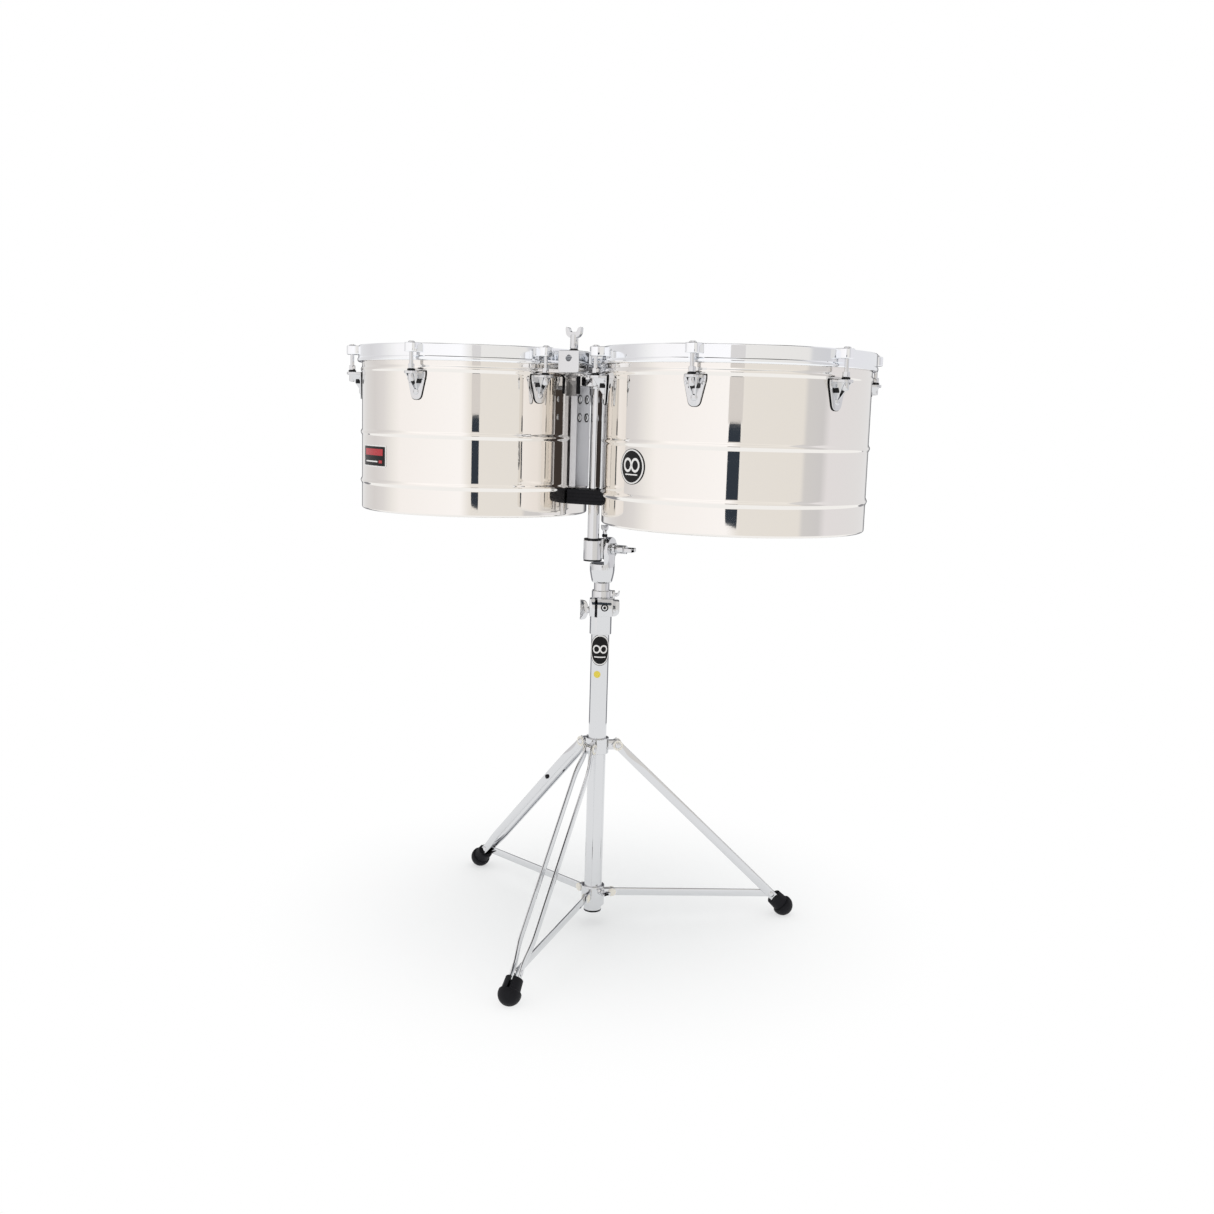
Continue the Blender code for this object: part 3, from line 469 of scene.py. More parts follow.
def lug_outline(extra):
    """The plate's V, with rounded corners, grown by an amount."""
    top, bottom = LEDGE_TOP - 0.0005 + extra, 0.8764 - extra
    wide, narrow = 0.0162 + extra, 0.0075 + extra
    points = [(-wide, top), (-wide, top - 0.0065), (-narrow, bottom), (narrow, bottom),
              (wide, top - 0.0065), (wide, top)]
    return rounded(points, [0.001, 0.005, 0.0073, 0.0073, 0.005, 0.001])


def lug_casting():
    """A lug in its own frame: +X out of the drum, z as on the stand."""
    plate = slab(lug_outline(0.0), 0.0008, 0.0030, "X", 0.0007)
    ledge = slab(rounded([(0.0010, -0.0132), (ROD_OUT - 0.002, -0.0125), (ROD_OUT + 0.0086, -0.0085),
                          (ROD_OUT + 0.0086, 0.0085), (ROD_OUT - 0.002, 0.0125), (0.0010, 0.0132)],
                         [0, 0.005, 0.0075, 0.0075, 0.005, 0]), LEDGE_TOP - 0.0042, LEDGE_TOP, soft=0.0011,
                 segments=3)
    cheek = [(0.0010, LEDGE_TOP - 0.002), (0.0010, 0.8905), (0.0036, 0.8905), (0.0140, 0.9060),
             (0.0215, 0.9160), (0.0215, LEDGE_TOP - 0.002)]
    cheeks = []
    for side in PAIR:
        wall = slab(rounded(cheek, [0, 0, 0.002, 0.006, 0.003, 0]), -0.0011, 0.0011, "XZ", 0.0007)
        lean = Matrix.Shear("XY", 4, (0.0, side * 0.22))
        cheeks.append(moved(wall, shift(0.0, side * 0.0082), shift(0, 0, LEDGE_TOP), lean,
                            shift(0, 0, -LEDGE_TOP)))
    hole = pin(0.0036, LEDGE_TOP - 0.008, LEDGE_TOP + 0.002, at=(ROD_OUT, 0.0), sides=24)
    return joined(plate, [ledge, *cheeks], [hole])


def tension_rod():
    """Rod, key head, hex collar and swivel nut, turned and milled, on its own axis."""
    shank = turned([(0.0, 0.9036), (0.0026, 0.9036), (0.0030, 0.9040), (0.0030, 0.9623), (0.0052, 0.9623),
                    (0.0052, 0.9632), (0.0046, 0.9638), (0.0030, 0.9639), (0.0, 0.9639)], 28)
    key = slab(rounded(corners(-0.0030, -0.0030, 0.0030, 0.0030), 0.0004, 2), 0.9630, 0.9645, soft=0.0003)
    collar = pin(0.0056, 0.9227, 0.9302, sides=6, soft=0.0007)
    nut = turned([(0.0, 0.9045), (0.0046, 0.9045), (0.0050, 0.9052), (0.0050, 0.9150), (0.0044, 0.9150),
                  (0.0, 0.9150)], 28)
    return joined(shank, [key, collar, nut])


def build_lugs(drum):
    """Six lugs with their screws, and the tension rods and washers in them."""
    casting, rod = lug_casting(), tension_rod()
    screw = moved(dome(0.0050, 0.0026), AXES["X"])
    screw.data.transform(shift(0.0029, 0.0, 0.8885))
    slot_cut = block((0.0043, -0.0030, 0.8880), (0.0060, 0.0030, 0.8890))
    screw = joined(screw, (), [slot_cut])
    upper = [moved(moved(dome(0.0028, 0.0016), AXES["X"]), shift(0.0029, s * 0.0128, 0.9085)) for s in PAIR]
    screws = joined(screw, upper)
    # The gasket is 0.7 mm wider than the plate all round, so its black rim draws the dark outline round each
    # lug plate: partly a real gasket, partly painted shade at the plate's edge.
    gasket = slab(lug_outline(0.0007), 0.0003, 0.0010, "X")
    # Painted shade: a black nylon block fills each lug's hollow between its cheeks under the ledge, standing
    # in for the shade in that cup.
    keeper = block((0.0029, -0.0068, 0.9010), (0.0105, 0.0068, 0.9152), 0.0008)
    washer = band(0.0034, 0.0062, 0.9198, 0.9226, 32, 0.0006)
    for k, place in lug_places(drum):
        axis = place @ shift(ROD_OUT)
        finish(casting, f"{drum}_lug_casting_{k}", "drum_carrier", "cast_chrome", [f"{drum}_lug_{k}"],
               place, copy=True)
        for obj, part, look in ((keeper, "keeper", "nylon"), (gasket, "gasket", "rubber"),
                                (screws, "screws", "chrome")):
            finish(obj, f"{drum}_lug_{part}_{k}", "drum_carrier", look, place=place, copy=True)
        finish(rod, f"{drum}_rod_{k}_steel", f"{drum}_rod_{k}", "chrome", [f"{drum}_tension_rod_{k}"], axis,
               copy=True)
        finish(washer, f"{drum}_rod_washer_{k}", f"{drum}_rod_{k}", "nylon", place=axis, copy=True)
    drop(casting, rod, screws, keeper, gasket, washer)


# ---- Badges: plain generic marks ----
def wrapped(obj, radius, azimuth, height, lift):
    """Bends a shape drawn flat in YZ round a cylinder; its X is then the distance from the wall."""
    for vertex in obj.data.vertices:
        x, y, z = vertex.co
        angle = math.radians(azimuth) + y / radius
        reach = radius + lift + x
        vertex.co = (reach * math.cos(angle), reach * math.sin(angle), height + z)
    return obj


def oval(half_wide, half_high, low, high, hole=0.0):
    """A thin oval disc or ring facing +X, with rings of points so that it can bend."""
    rings = [hole + (1.0 - hole) * i / 5 for i in range(6)]
    profile = [(r, high) for r in rings] + [(1.0, low)] + [(r, low) for r in reversed(rings[:-1])]
    return moved(turned(profile, 48), Matrix.Diagonal((1.0, half_wide, half_high, 1.0)), AXES["X"])


def patch(y0, y1, z0, z1, low, high, corner=0.0015):
    """A thin rectangle facing +X, cut into strips so that it can bend."""
    shape = slab(rounded(corners(y0, z0, y1, z1), corner, 3), low, high, "X")
    bm = bmesh.new()
    bm.from_mesh(shape.data)
    for i in range(1, 10):
        y = y0 + (y1 - y0) * i / 10
        bmesh.ops.bisect_plane(bm, geom=[*bm.verts, *bm.edges, *bm.faces], plane_co=(0, y, 0),
                               plane_no=(0, 1, 0))
    bm.to_mesh(shape.data)
    bm.free()
    return shape


def build_oval_badge(name, body, centre, radius, azimuth, height, half_wide, half_high):
    """A black enamel oval with a pale edge, and two plain rings side by side as its mark."""
    place = shift(*centre)
    thick = 0.0009

    def put(obj, part, finish_name):
        finish(wrapped(obj, radius, azimuth, height, 0.0001), f"{name}_{part}", body, finish_name,
               place=place)

    put(oval(half_wide, half_high, 0.0, thick), "border", "enamel")
    put(oval(half_wide * 0.955, half_high * 0.965, thick * 0.4, thick + 0.00015), "edge", "white_print")
    put(oval(half_wide * 0.85, half_high * 0.885, thick * 0.6, thick + 0.0003), "field", "enamel")
    ring = half_wide * 0.34
    for side, part in ((-1, "ring_left"), (1, "ring_right")):
        mark = oval(ring, ring * 1.15, thick * 0.6, thick + 0.0005, 0.66)
        put(moved(mark, shift(0.0, side * ring * 0.92, ring * 0.25)), part, "white_print")
    line = patch(-half_wide * 0.5, half_wide * 0.5, -half_high * 0.48, -half_high * 0.41, thick * 0.7,
                 thick + 0.0005, 0.0)
    put(line, "line", "white_print")


def build_plate_badge():
    """The rectangular badge on the smaller drum: a pale edge, a black field and plain red and white bars."""
    radius, place = RADIUS["small"], shift(*CENTRE["small"])
    azimuth, height = -118.6, 0.7858

    def put(part, finish_name, *box):
        finish(wrapped(patch(*box), radius, azimuth, height, 0.0001), f"plate_badge_{part}", "drum_carrier",
               finish_name, place=place)

    put("edge", "white_print", -0.0380, 0.0380, -0.0172, 0.0172, 0.0, 0.0008, 0.0025)
    put("field", "enamel", -0.0358, 0.0358, -0.0153, 0.0153, 0.0004, 0.0010)
    put("band", "red_print", -0.0300, 0.0300, 0.0010, 0.0115, 0.0006, 0.0012, 0.0005)
    put("bar_low", "white_print", -0.0270, 0.0150, -0.0098, -0.0076, 0.0006, 0.0012, 0.0)
    put("bar_end", "red_print", 0.0190, 0.0280, -0.0110, -0.0064, 0.0006, 0.0012, 0.0)


# ---- Wing screws ----
def wing_plate(half, low, high, thick, notch, root=0.0042, lobe=0.42):
    """Two rounded wings with a U between them, in XZ, z up, ready to stand on a stem."""
    outline = [(-root, low), (root, low), (half * 0.92, low + (high - low) * 0.30),
               (half, high - (high - low) * 0.12), (half * 0.94, high),
               (half * (1 - lobe), high - (high - low) * 0.06), (root * 0.9, high - notch),
               (-root * 0.9, high - notch), (-half * (1 - lobe), high - (high - low) * 0.06),
               (-half * 0.94, high), (-half, high - (high - low) * 0.12),
               (-half * 0.92, low + (high - low) * 0.30)]
    size = (high - low) * 0.28
    return slab(rounded(outline, size, 5), -thick / 2, thick / 2, "XZ", thick * 0.3, 3)


def wing_screw(shaft, boss, wing, neck=None):
    """Along +Z: shaft and boss are (radius, low, high); wing is wing_plate's values; neck is a wider foot."""
    parts = [pin(*boss, sides=32, soft=boss[0] * 0.18), wing_plate(*wing)]
    if neck:
        parts.append(pin(*neck, sides=32, soft=neck[0] * 0.12))
    return joined(pin(*shaft, sides=24), parts)


# ---- What holds the drums ----
def build_bracket(drum):
    """The pressed channel riveted to the shell, with two pairs of rivets."""
    side = 1 if drum == "small" else -1
    low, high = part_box(f"{drum}_mount_bracket")
    inverse = STAND.inverted()
    low, high = inverse @ low, inverse @ high
    wall = CENTRE[drum].x + side * RADIUS[drum]
    face = wall + side * 0.0120
    y = CENTRE[drum].y
    x0, x1 = sorted((face - side * 0.0026, face))
    front = slab(rounded([(y - 0.0240, 0.7450), (y + 0.0240, 0.7450), (y + 0.0240, 0.8905),
                          (y + 0.0205, 0.8935), (y + 0.0205, 0.9150), (y - 0.0205, 0.9150),
                          (y - 0.0205, 0.8935), (y - 0.0240, 0.8905)], 0.002, 3), x0, x1, "X", 0.0008)
    flanges = []
    for s in PAIR:
        edge = y + s * 0.0240
        x_in, x_out = sorted((wall - side * 0.0008, face - side * 0.001))
        flanges.append(block((x_in, min(edge, edge - s * 0.0026), 0.7455),
                             (x_out, max(edge, edge - s * 0.0026), 0.8900)))
    shell_space = pin(RADIUS[drum] + BEAD_PROUD + GAP, 0.70, 0.94, at=CENTRE[drum].xy, sides=ROUND)
    plate = joined(front, flanges, [shell_space])
    studs = [pin(0.0034, *sorted((face - side * 0.001, face + side * 0.0055)), "X",
                 (y + s * 0.0135, STUD_Z), 20) for s in PAIR]
    finish(joined(plate, studs), f"{drum}_channel", "drum_carrier", "satin", [f"{drum}_mount_bracket"])
    rivets = [(dy, z) for z in (0.8560, 0.8850) for dy in (-0.0145, 0.0110)]
    for k, (dy, z) in enumerate(rivets, 1):
        rivet, ring = moved(dome(0.0052, 0.0024), AXES["X"]), pin(0.0074, 0.0, 0.0006, "X", sides=28)
        place = shift(face, y + dy, z) @ (turn(180) if side < 0 else Matrix.Identity(4))
        finish(rivet, f"{drum}_channel_rivet_{k}", "drum_carrier", "chrome", place=place)
        finish(ring, f"{drum}_channel_rivet_seat_{k}", "drum_carrier", "nylon", place=place)


def build_carrier():
    """The cast hub between the two channels, its cap screws and the arm to the accessory clamp."""
    left = CENTRE["small"].x + RADIUS["small"] + 0.0120 + GAP
    right = CENTRE["large"].x - RADIUS["large"] - 0.0120 - GAP
    y = CENTRE["small"].y
    hub = block((left, y - 0.0190, 0.9050), (right, y + 0.0190, 0.9265), 0.0022)
    arm = block((MAST[0] - 0.0120, -0.0887, 0.9245), (MAST[0] + 0.0120, y + 0.0190, 0.9385), 0.0020)
    boss = pin(0.0128, 0.9020, 0.9290, at=MAST, sides=48, soft=0.0010)
    bore = pin(MAST_R + GAP, 0.8900, 0.9203, at=MAST, sides=64)
    spans = ((left - 0.002, left + 0.0067), (right - 0.0067, right + 0.002))
    stud_holes = [pin(0.0038, *span, "X", (y + s * 0.0135, STUD_Z), 16) for span in spans for s in PAIR]
    hub = joined(hub, [arm, boss], [bore, *stud_holes])
    finish(hub, "carrier_casting", "drum_carrier", "cast_chrome", ["carrier"])
    screws = []
    for x in (left + 0.0090, right - 0.0090):
        head = pin(0.0046, 0.9262, 0.9300, at=(x, y + 0.0120), sides=28, soft=0.0005)
        socket = pin(0.0023, 0.9280, 0.9310, at=(x, y + 0.0120), sides=6)
        screws.append(joined(head, (), [socket]))
    side_screw = joined(pin(0.0052, y - 0.0222, y - 0.0186, "Y", (MAST[0] + 0.0150, 0.9150), 28, 0.0006),
                        (), [pin(0.0025, y - 0.0230, y - 0.0200, "Y", (MAST[0] + 0.0150, 0.9150), 6)])
    finish(joined(screws[0], [screws[1], side_screw]), "carrier_cap_screws", "drum_carrier", "chrome")
    # A small black rubber pin standing just in front of the hub's left end, set where a dark spot shows
    # beside the plate's edge.
    dark_pin = turned([(0.0, 0.8930), (0.0026, 0.8930), (0.0032, 0.8940), (0.0032, 0.9200), (0.0026, 0.9210),
                   (0.0, 0.9210)], 28)
    finish(dark_pin, "carrier_dark_pin", "drum_carrier", "rubber", place=shift(left + 0.0020, y - 0.0262))


def build_mast():
    """The tube that the carrier hangs on."""
    tube = turned([(MAST_R, 0.6262), (MAST_R, 0.9192), (MAST_R - 0.0006, 0.9200), (MAST_R - 0.0015, 0.9200),
                   (MAST_R - 0.0015, 0.6258), (MAST_R - 0.0005, 0.6258)], 72)
    finish(tube, "mast_tube", "drum_carrier", "chrome", ["mast"], shift(*MAST))


def build_accessory_clamp():
    """The clamp block with its rod hole and split, and the big cast wing screw on top."""
    x, y0, y1 = MAST[0], -0.1250, -0.0890
    mid = (y0 + y1) / 2
    outline = rounded(corners(x - 0.0180, 0.9235, x + 0.0180, 0.9572), [0.0055, 0.0055, 0.0025, 0.0025])
    body = slab(outline, -y1, -y0, "XZ", 0.0014, 3)
    lip = slab(rounded([(x - 0.0181, 0.9500), (x + 0.0060, 0.9455), (x + 0.0060, 0.9480),
                        (x - 0.0181, 0.9525)], 0.0004, 2), -y0 - 0.0020, -y0 + 0.0010, "XZ")
    cuts = [pin(0.0051, y0 - 0.002, y1 + 0.002, "Y", (x, 0.9455), 40),
            pin(0.0033, 0.9455, 0.9600, at=(x, mid), sides=24),
            pin(0.0039, y1 - 0.0125, y1 + 0.002, "Y", (x, 0.9315), 20), lip]
    finish(joined(body, (), cuts), "clamp_block", "drum_carrier", "cast_chrome", ["accessory_clamp"])
    stud = pin(0.0034, y1 - 0.0115, y1 + 0.004, "Y", (x, 0.9315), 20)
    finish(stud, "clamp_stud", "drum_carrier", "chrome")
    screw = wing_screw((0.0030, 0.9516, 0.9780), (0.0062, 0.9600, 0.9815),
                       (0.0134, 0.9765, 0.9930, 0.0086, 0.0075, 0.0066, 0.42))
    finish(screw, "accessory_wings", "accessory_screw", "cast_chrome", ["accessory_wing_screw"],
           shift(x, mid))
    foot = turned([(0.0032, 0.9575), (0.0068, 0.9575), (0.0068, 0.9590), (0.0060, 0.9598),
                   (0.0032, 0.9598)], 32, 0.0002)
    finish(foot, "accessory_screw_foot", "accessory_screw", "nylon", place=shift(x, mid))


def build_spacer():
    """The moulded rubber pad between the shells, hollowed to their curve."""
    body = block((-0.050, -0.0500, 0.7182), (0.034, -0.0045, 0.7423), 0.0012)
    cuts = [pin(MAST_R + GAP, 0.70, 0.76, at=MAST, sides=64)]
    for drum in DRUMS:
        cuts.append(pin(RADIUS[drum] + BEAD_PROUD + GAP, 0.70, 0.76, at=CENTRE[drum].xy, sides=ROUND))
    ribs = [block((-0.060, -0.0530, z), (0.044, -0.0492, z + 0.0012)) for z in (0.7235, 0.7290, 0.7345)]
    finish(joined(body, (), [*cuts, *ribs]), "spacer_pad", "drum_carrier", "rubber", ["drum_spacer"])


# ---- Tilter ----
def tilter_neck():
    """A fine block whose outer face goes from the round post, low down, to the flat ear, higher up."""
    bm = bmesh.new()
    bmesh.ops.create_cube(bm, size=1.0)
    bmesh.ops.subdivide_edges(bm, edges=bm.edges, cuts=11, use_grid_fill=True)
    for vertex in bm.verts:
        out, across, up = (c + 0.5 for c in vertex.co)
        z = 0.5990 + 0.0460 * up
        t = min(max((z - 0.6180) / 0.0230, 0.0), 1.0)
        t = t * t * (3 - 2 * t)
        radius = 0.0170 + (0.0205 - 0.0170) * min(max((z - 0.5960) / 0.0180, 0.0), 1.0)
        half = 0.97 * (radius**2 - 0.0107**2) ** 0.5 * (1 - t) + 0.0189 * t
        y = (2 * across - 1) * half
        face = max(radius**2 - y * y, 0.0107**2) ** 0.5 * (1 - t) + 0.0172 * t
        vertex.co = (0.0109 + (face - 0.0109) * out, y, z)
    bmesh.ops.recalc_face_normals(bm, faces=bm.faces)
    return working(bm)


def build_tilter():
    """The sleeve with its ear, the post's casting with the other ear, and the wing bolt through both."""
    sleeve = turned([(MAST_R + 0.0004, 0.6272), (0.0143, 0.6272), (0.0152, 0.6282), (0.0152, 0.6588),
                     (0.0143, 0.6598), (MAST_R + 0.0004, 0.6598)], 72)
    sleeve = moved(sleeve, shift(*MAST))
    disc = pin(0.0190, 0.0040, 0.0100, "X", (0.0, TILT_Z), 56, 0.0010)
    web = block((0.0008, -0.0203, 0.6297), (0.0095, -0.0088, 0.6628), 0.0016)
    holes = [pin(0.0043, -0.004, 0.012, "X", (0.0, TILT_Z), 24),
             pin(0.0027, 0.6495, 0.6665, at=MAST_SCREW, sides=20)]
    plate = joined(disc, [web], holes)
    plate = joined(plate, (), [pin(MAST_R + 0.0004, 0.62, 0.67, at=MAST, sides=72)])
    finish(joined(plate, [sleeve]), "tilter_ear", "tilter", "cast_chrome", ["tilter_socket"])
    for name, low, high in (("top", 0.6600, 0.6621), ("bottom", 0.6253, 0.6270)):
        ring = band(MAST_R + 0.0003, 0.0150, low, high, 64, 0.0004)
        finish(ring, f"sleeve_ring_{name}", "tilter", "nylon", place=shift(*MAST))
    screw = wing_screw((0.0024, 0.6502, 0.6700), (0.0032, 0.6690, 0.6760),
                       (0.0066, 0.6735, 0.6848, 0.0030, 0.0050, 0.0024))
    finish(screw, "mast_screw_wings", "mast_screw", "chrome", ["socket_screw"],
           shift(*MAST_SCREW) @ turn(60))
    foot = band(0.0026, 0.0044, 0.6645, 0.6690, 28, 0.0005)
    finish(foot, "mast_screw_foot", "mast_screw", "nylon", place=shift(*MAST_SCREW))

    cone = turned([(0.0, 0.6205), (0.0186, 0.6205), (0.0200, 0.6194), (0.0205, 0.6165), (0.0203, 0.6080),
                   (0.0190, 0.6000), (0.0172, 0.5920), (0.0162, 0.5896), (0.0150, 0.5886), (0.0108, 0.5886),
                   (0.0108, 0.5690), (0.0, 0.5690)], 72)
    ear = pin(0.0190, 0.0107, 0.0172, "X", (0.0, TILT_Z), 56, 0.0012)
    neck = tilter_neck()
    hole = pin(0.0043, 0.008, 0.020, "X", (0.0, TILT_Z), 24)
    finish(joined(cone, [ear, neck], [hole]), "tilter_post_casting", "inner_post", "cast_chrome",
           ["tilter_base"])

    shank = pin(0.0039, -0.0010, 0.0330, "X", sides=24)
    nut = pin(0.0061, -0.0029, 0.0036, "X", sides=6, soft=0.0005)
    neck = pin(0.0070, 0.0240, 0.0430, "X", sides=36, soft=0.0012)
    wing = moved(wing_plate(0.0103, 0.0370, 0.0558, 0.0066, 0.0080, 0.0062), TO_X)
    finish(joined(shank, [nut, neck, wing]), "tilter_wings", "tilter_bolt", "cast_chrome",
           ["tilter_wing_bolt"], shift(0.0, 0.0, TILT_Z))
    outline = []
    for k in range(24):
        reach = 0.0094 if k % 2 else 0.0084
        for spread in (-3.2, 3.2):
            a = math.radians(15 * k + spread)
            outline.append((reach * math.cos(a), reach * math.sin(a)))
    hub = joined(slab(outline, 0.0176, 0.0238, "X", 0.0003), (), [pin(0.0041, 0.010, 0.030, "X", sides=24)])
    finish(hub, "tilter_hub", "tilter_bolt", "cast_chrome", place=shift(0.0, 0.0, TILT_Z))


# ---- Column ----
def tube_profile(outer, wall, low, high):
    """A tube's wall, with its edges eased."""
    return [(outer, low + 0.0004), (outer, high - 0.0006), (outer - 0.0006, high), (outer - wall, high),
            (outer - wall, low), (outer - 0.0004, low)]


def build_column():
    """The two tubes, the end plug, and the stop ring with its lever."""
    finish(turned(tube_profile(0.0150, 0.0015, 0.0245, 0.5310), 96), "lower_tube", "stand", "chrome",
           ["outer_tube"])
    finish(turned(tube_profile(0.0127, 0.0015, 0.3300, 0.5883), 96), "upper_tube", "inner_post", "chrome",
           ["inner_tube"])
    plug = turned([(0.0, 0.0365), (0.0132, 0.0365), (0.0132, 0.0242), (0.0147, 0.0242), (0.0150, 0.0238),
                   (0.0146, 0.0218), (0.0135, 0.0215), (0.0, 0.0215)], 64)
    finish(plug, "tube_foot_plug", "stand", "rubber", ["tube_end_plug"])

    about = turn(CLAMP_TURN)
    ring = turned([(0.0130, 0.5603), (0.0154, 0.5603), (0.0160, 0.5610), (0.0160, 0.5746), (0.0154, 0.5754),
                   (0.0130, 0.5754)], 72)
    lug = moved(block((0.0140, -0.0058, 0.5606), (0.0224, 0.0058, 0.5750), 0.0016), about)
    cuts = [pin(0.0130, 0.55, 0.58, sides=72),
            moved(pin(0.0025, 0.0120, 0.0240, "X", (0.0, STOP_Z), 20), about)]
    finish(joined(ring, [lug], cuts), "stop_ring", "inner_post", "cast_chrome", ["memory_lock"])
    lever = slab(rounded([(0.0228, -0.0030), (0.0290, -0.0012), (0.0302, 0.0064), (0.0286, 0.0068),
                          (0.0268, 0.0026), (0.0228, 0.0030)], 0.0016), -0.0030, 0.0030, "XZ", 0.0008)
    finish(joined(pin(0.0022, 0.0137, 0.0250, "X", sides=20), [lever]), "stop_ring_lever", "lock_lever",
           "cast_chrome", ["memory_lock_screw"], about @ shift(0.0, 0.0, STOP_Z))


def build_height_clamp():
    """The casting at the top of the lower tube: a sleeve below, a split boss above, and its wing bolt."""
    about = turn(CLAMP_TURN)
    sleeve = turned([(0.0, 0.5560), (0.0176, 0.5560), (0.0185, 0.5550), (0.0185, 0.5345), (0.0180, 0.5325),
                     (0.0180, 0.5032), (0.0172, 0.5021), (0.0, 0.5021)], 72)
    boss = moved(slab(rounded(corners(-0.0190, 0.5350, 0.0195, 0.5640), 0.0025), 0.0080, 0.0280, "XZ",
                      0.0012), about)
    side = moved(slab(rounded([(0.0130, 0.5360), (0.0160, 0.5340), (0.0250, 0.5340), (0.0300, 0.5400),
                               (0.0300, 0.5598), (0.0130, 0.5598)], [0, 0.001, 0.004, 0.004, 0.003, 0]),
                      -0.0040, 0.0160, "XZ", 0.0014), about)
    cuts = [pin(0.0153, 0.49, 0.5313, sides=72), pin(0.0130, 0.52, 0.57, sides=72),
            pin(0.0178, 0.5596, 0.58, sides=72),
            moved(block((-0.0102, -0.0320, 0.5318), (-0.0058, -0.0060, 0.5700)), about),
            moved(pin(0.0034, -0.0300, 0.0320, "X", (-0.0220, CLAMP_BOLT_Z), 24), about)]
    finish(joined(sleeve, [boss, side], cuts), "height_clamp_casting", "stand", "cast_chrome",
           ["height_clamp"])
    hex_screw = joined(pin(0.0042, 0.0278, 0.0300, "Y", (0.0, 0.0), 28, 0.0005), (),
                       [pin(0.0027, 0.0286, 0.0310, "Y", sides=6)])
    screw_place = about @ turn(180) @ shift(-0.0060, 0.0, 0.5500)
    finish(hex_screw, "height_clamp_screw", "stand", "chrome", place=screw_place)
    seat = joined(pin(0.0062, 0.0278, 0.0284, "Y", sides=32), [pin(0.0026, 0.0280, 0.0294, "Y", sides=6)])
    finish(seat, "height_clamp_screw_seat", "stand", "nylon", place=screw_place)
    # A black rubber block fills the clamp's split from just inside its outer face to the bore, so that the
    # split shows dark.
    split_fill = moved(block((-0.0100, -0.0266, 0.5345), (-0.0060, -0.0150, 0.5552)), about)
    finish(split_fill, "height_clamp_split_fill", "stand", "rubber")
    gasket = band(0.0128, 0.0168, 0.5562, 0.5586, 64, 0.0005)
    finish(gasket, "height_clamp_seal", "stand", "nylon")
    shank = pin(0.0030, -0.0230, 0.0222, "X", sides=24)
    nut = pin(0.0054, 0.0198, 0.0243, "X", sides=6, soft=0.0006)
    collar = pin(0.0055, -0.0230, -0.0193, "X", sides=28, soft=0.0006)
    to_minus_x = Matrix(((0, 0, -1), (0, 1, 0), (1, 0, 0))).to_4x4()
    wing = moved(wing_plate(0.0164, 0.0205, 0.0349, 0.0056, 0.0085, 0.0050, 0.30), to_minus_x)
    finish(joined(shank, [nut, collar, wing]), "height_bolt_wings", "height_bolt", "cast_chrome",
           ["height_wing_bolt"], about @ shift(0.0, -0.0220, CLAMP_BOLT_Z))


# ---- Tripod ----
def leg_lean():
    """The angle in degrees between an open leg and the floor."""
    return math.degrees(math.atan2(LEG_PIN[1] - FOOT[1], FOOT[0] - LEG_PIN[0]))


def clevis(reach, pin_height, half, thick, low_x=0.0172):
    """An ear that stands out from a collar and ends round its pin."""
    return slab([(low_x, pin_height - half), *arc((reach, pin_height), half, -90, 90, 12),
                 (low_x, pin_height + half)], -thick / 2, thick / 2, "XZ", 0.0007)


def build_collars():
    """The crown that the legs hang from, and the collar that slides with the braces."""
    ring = turned([(0.0154, 0.2998), (0.0190, 0.2998), (0.0195, 0.3004), (0.0195, 0.3252), (0.0190, 0.3258),
                   (0.0154, 0.3258)], 72)
    ears = [moved(clevis(LEG_PIN[0], LEG_PIN[1], 0.0080, 0.0080), turn(a)) for a in LEG_AZIMUTHS]
    cuts = [pin(0.0154, 0.29, 0.33, sides=72)]
    cuts += [moved(pin(0.0033, -0.006, 0.006, "Y", LEG_PIN, 20), turn(a)) for a in LEG_AZIMUTHS]
    finish(joined(ring, ears, cuts), "leg_crown", "stand", "cast_chrome", ["leg_collar"])

    ring = turned([(0.0154, 0.0330), (0.0190, 0.0330), (0.0195, 0.0337), (0.0195, 0.0663), (0.0190, 0.0670),
                   (0.0154, 0.0670)], 72)
    add, cuts = [], [pin(0.0154, 0.02, 0.08, sides=72)]
    for a in LEG_AZIMUTHS:
        for side in PAIR:
            cheek = clevis(COLLAR_PIN[0], COLLAR_PIN[1], 0.0065, 0.0024)
            add.append(moved(cheek, turn(a), shift(0.0, side * 0.00325, 0.0)))
        cuts.append(moved(pin(0.0031, -0.006, 0.006, "Y", COLLAR_PIN, 20), turn(a)))
    screw_turn, screw_z = turn(COLLAR_SCREW[0]), COLLAR_SCREW[1]
    add.append(moved(pin(0.0055, 0.0170, 0.0240, "X", (0.0, screw_z), 28, 0.0007), screw_turn))
    cuts.append(moved(pin(0.0028, 0.0120, 0.0260, "X", (0.0, screw_z), 20), screw_turn))
    finish(joined(ring, add, cuts), "brace_slide_collar", "brace_slider", "cast_chrome", ["brace_collar"])
    screw = wing_screw((0.0025, 0.0158, 0.0300), (0.0042, 0.0244, 0.0305),
                       (0.0083, 0.0278, 0.0384, 0.0038, 0.0048, 0.0030))
    finish(moved(screw, TO_X), "collar_wings", "collar_screw", "cast_chrome", ["collar_wing_screw"],
           screw_turn @ shift(0.0, 0.0, screw_z))


def bowed_bar(side):
    """One flat bar of a leg, in the leg's frame, bowed away from its twin between its two pivots."""
    path = [(-0.008, 0.0065), (0.014, 0.0065), (0.045, 0.0110), (0.345, 0.0110), (0.376, 0.0065),
            (0.414, 0.0065)]
    half = 0.0015
    outer = [(s, t + half) for s, t in path]
    inner = [(s, t - half) for s, t in reversed(path)]
    turns = [0.001, 0.010, 0.014, 0.014, 0.010, 0.001]
    outline = rounded(outer + inner, turns + turns[::-1], 6)
    return slab([(s, side * t) for s, t in outline], -0.0070, 0.0070, soft=0.0009)


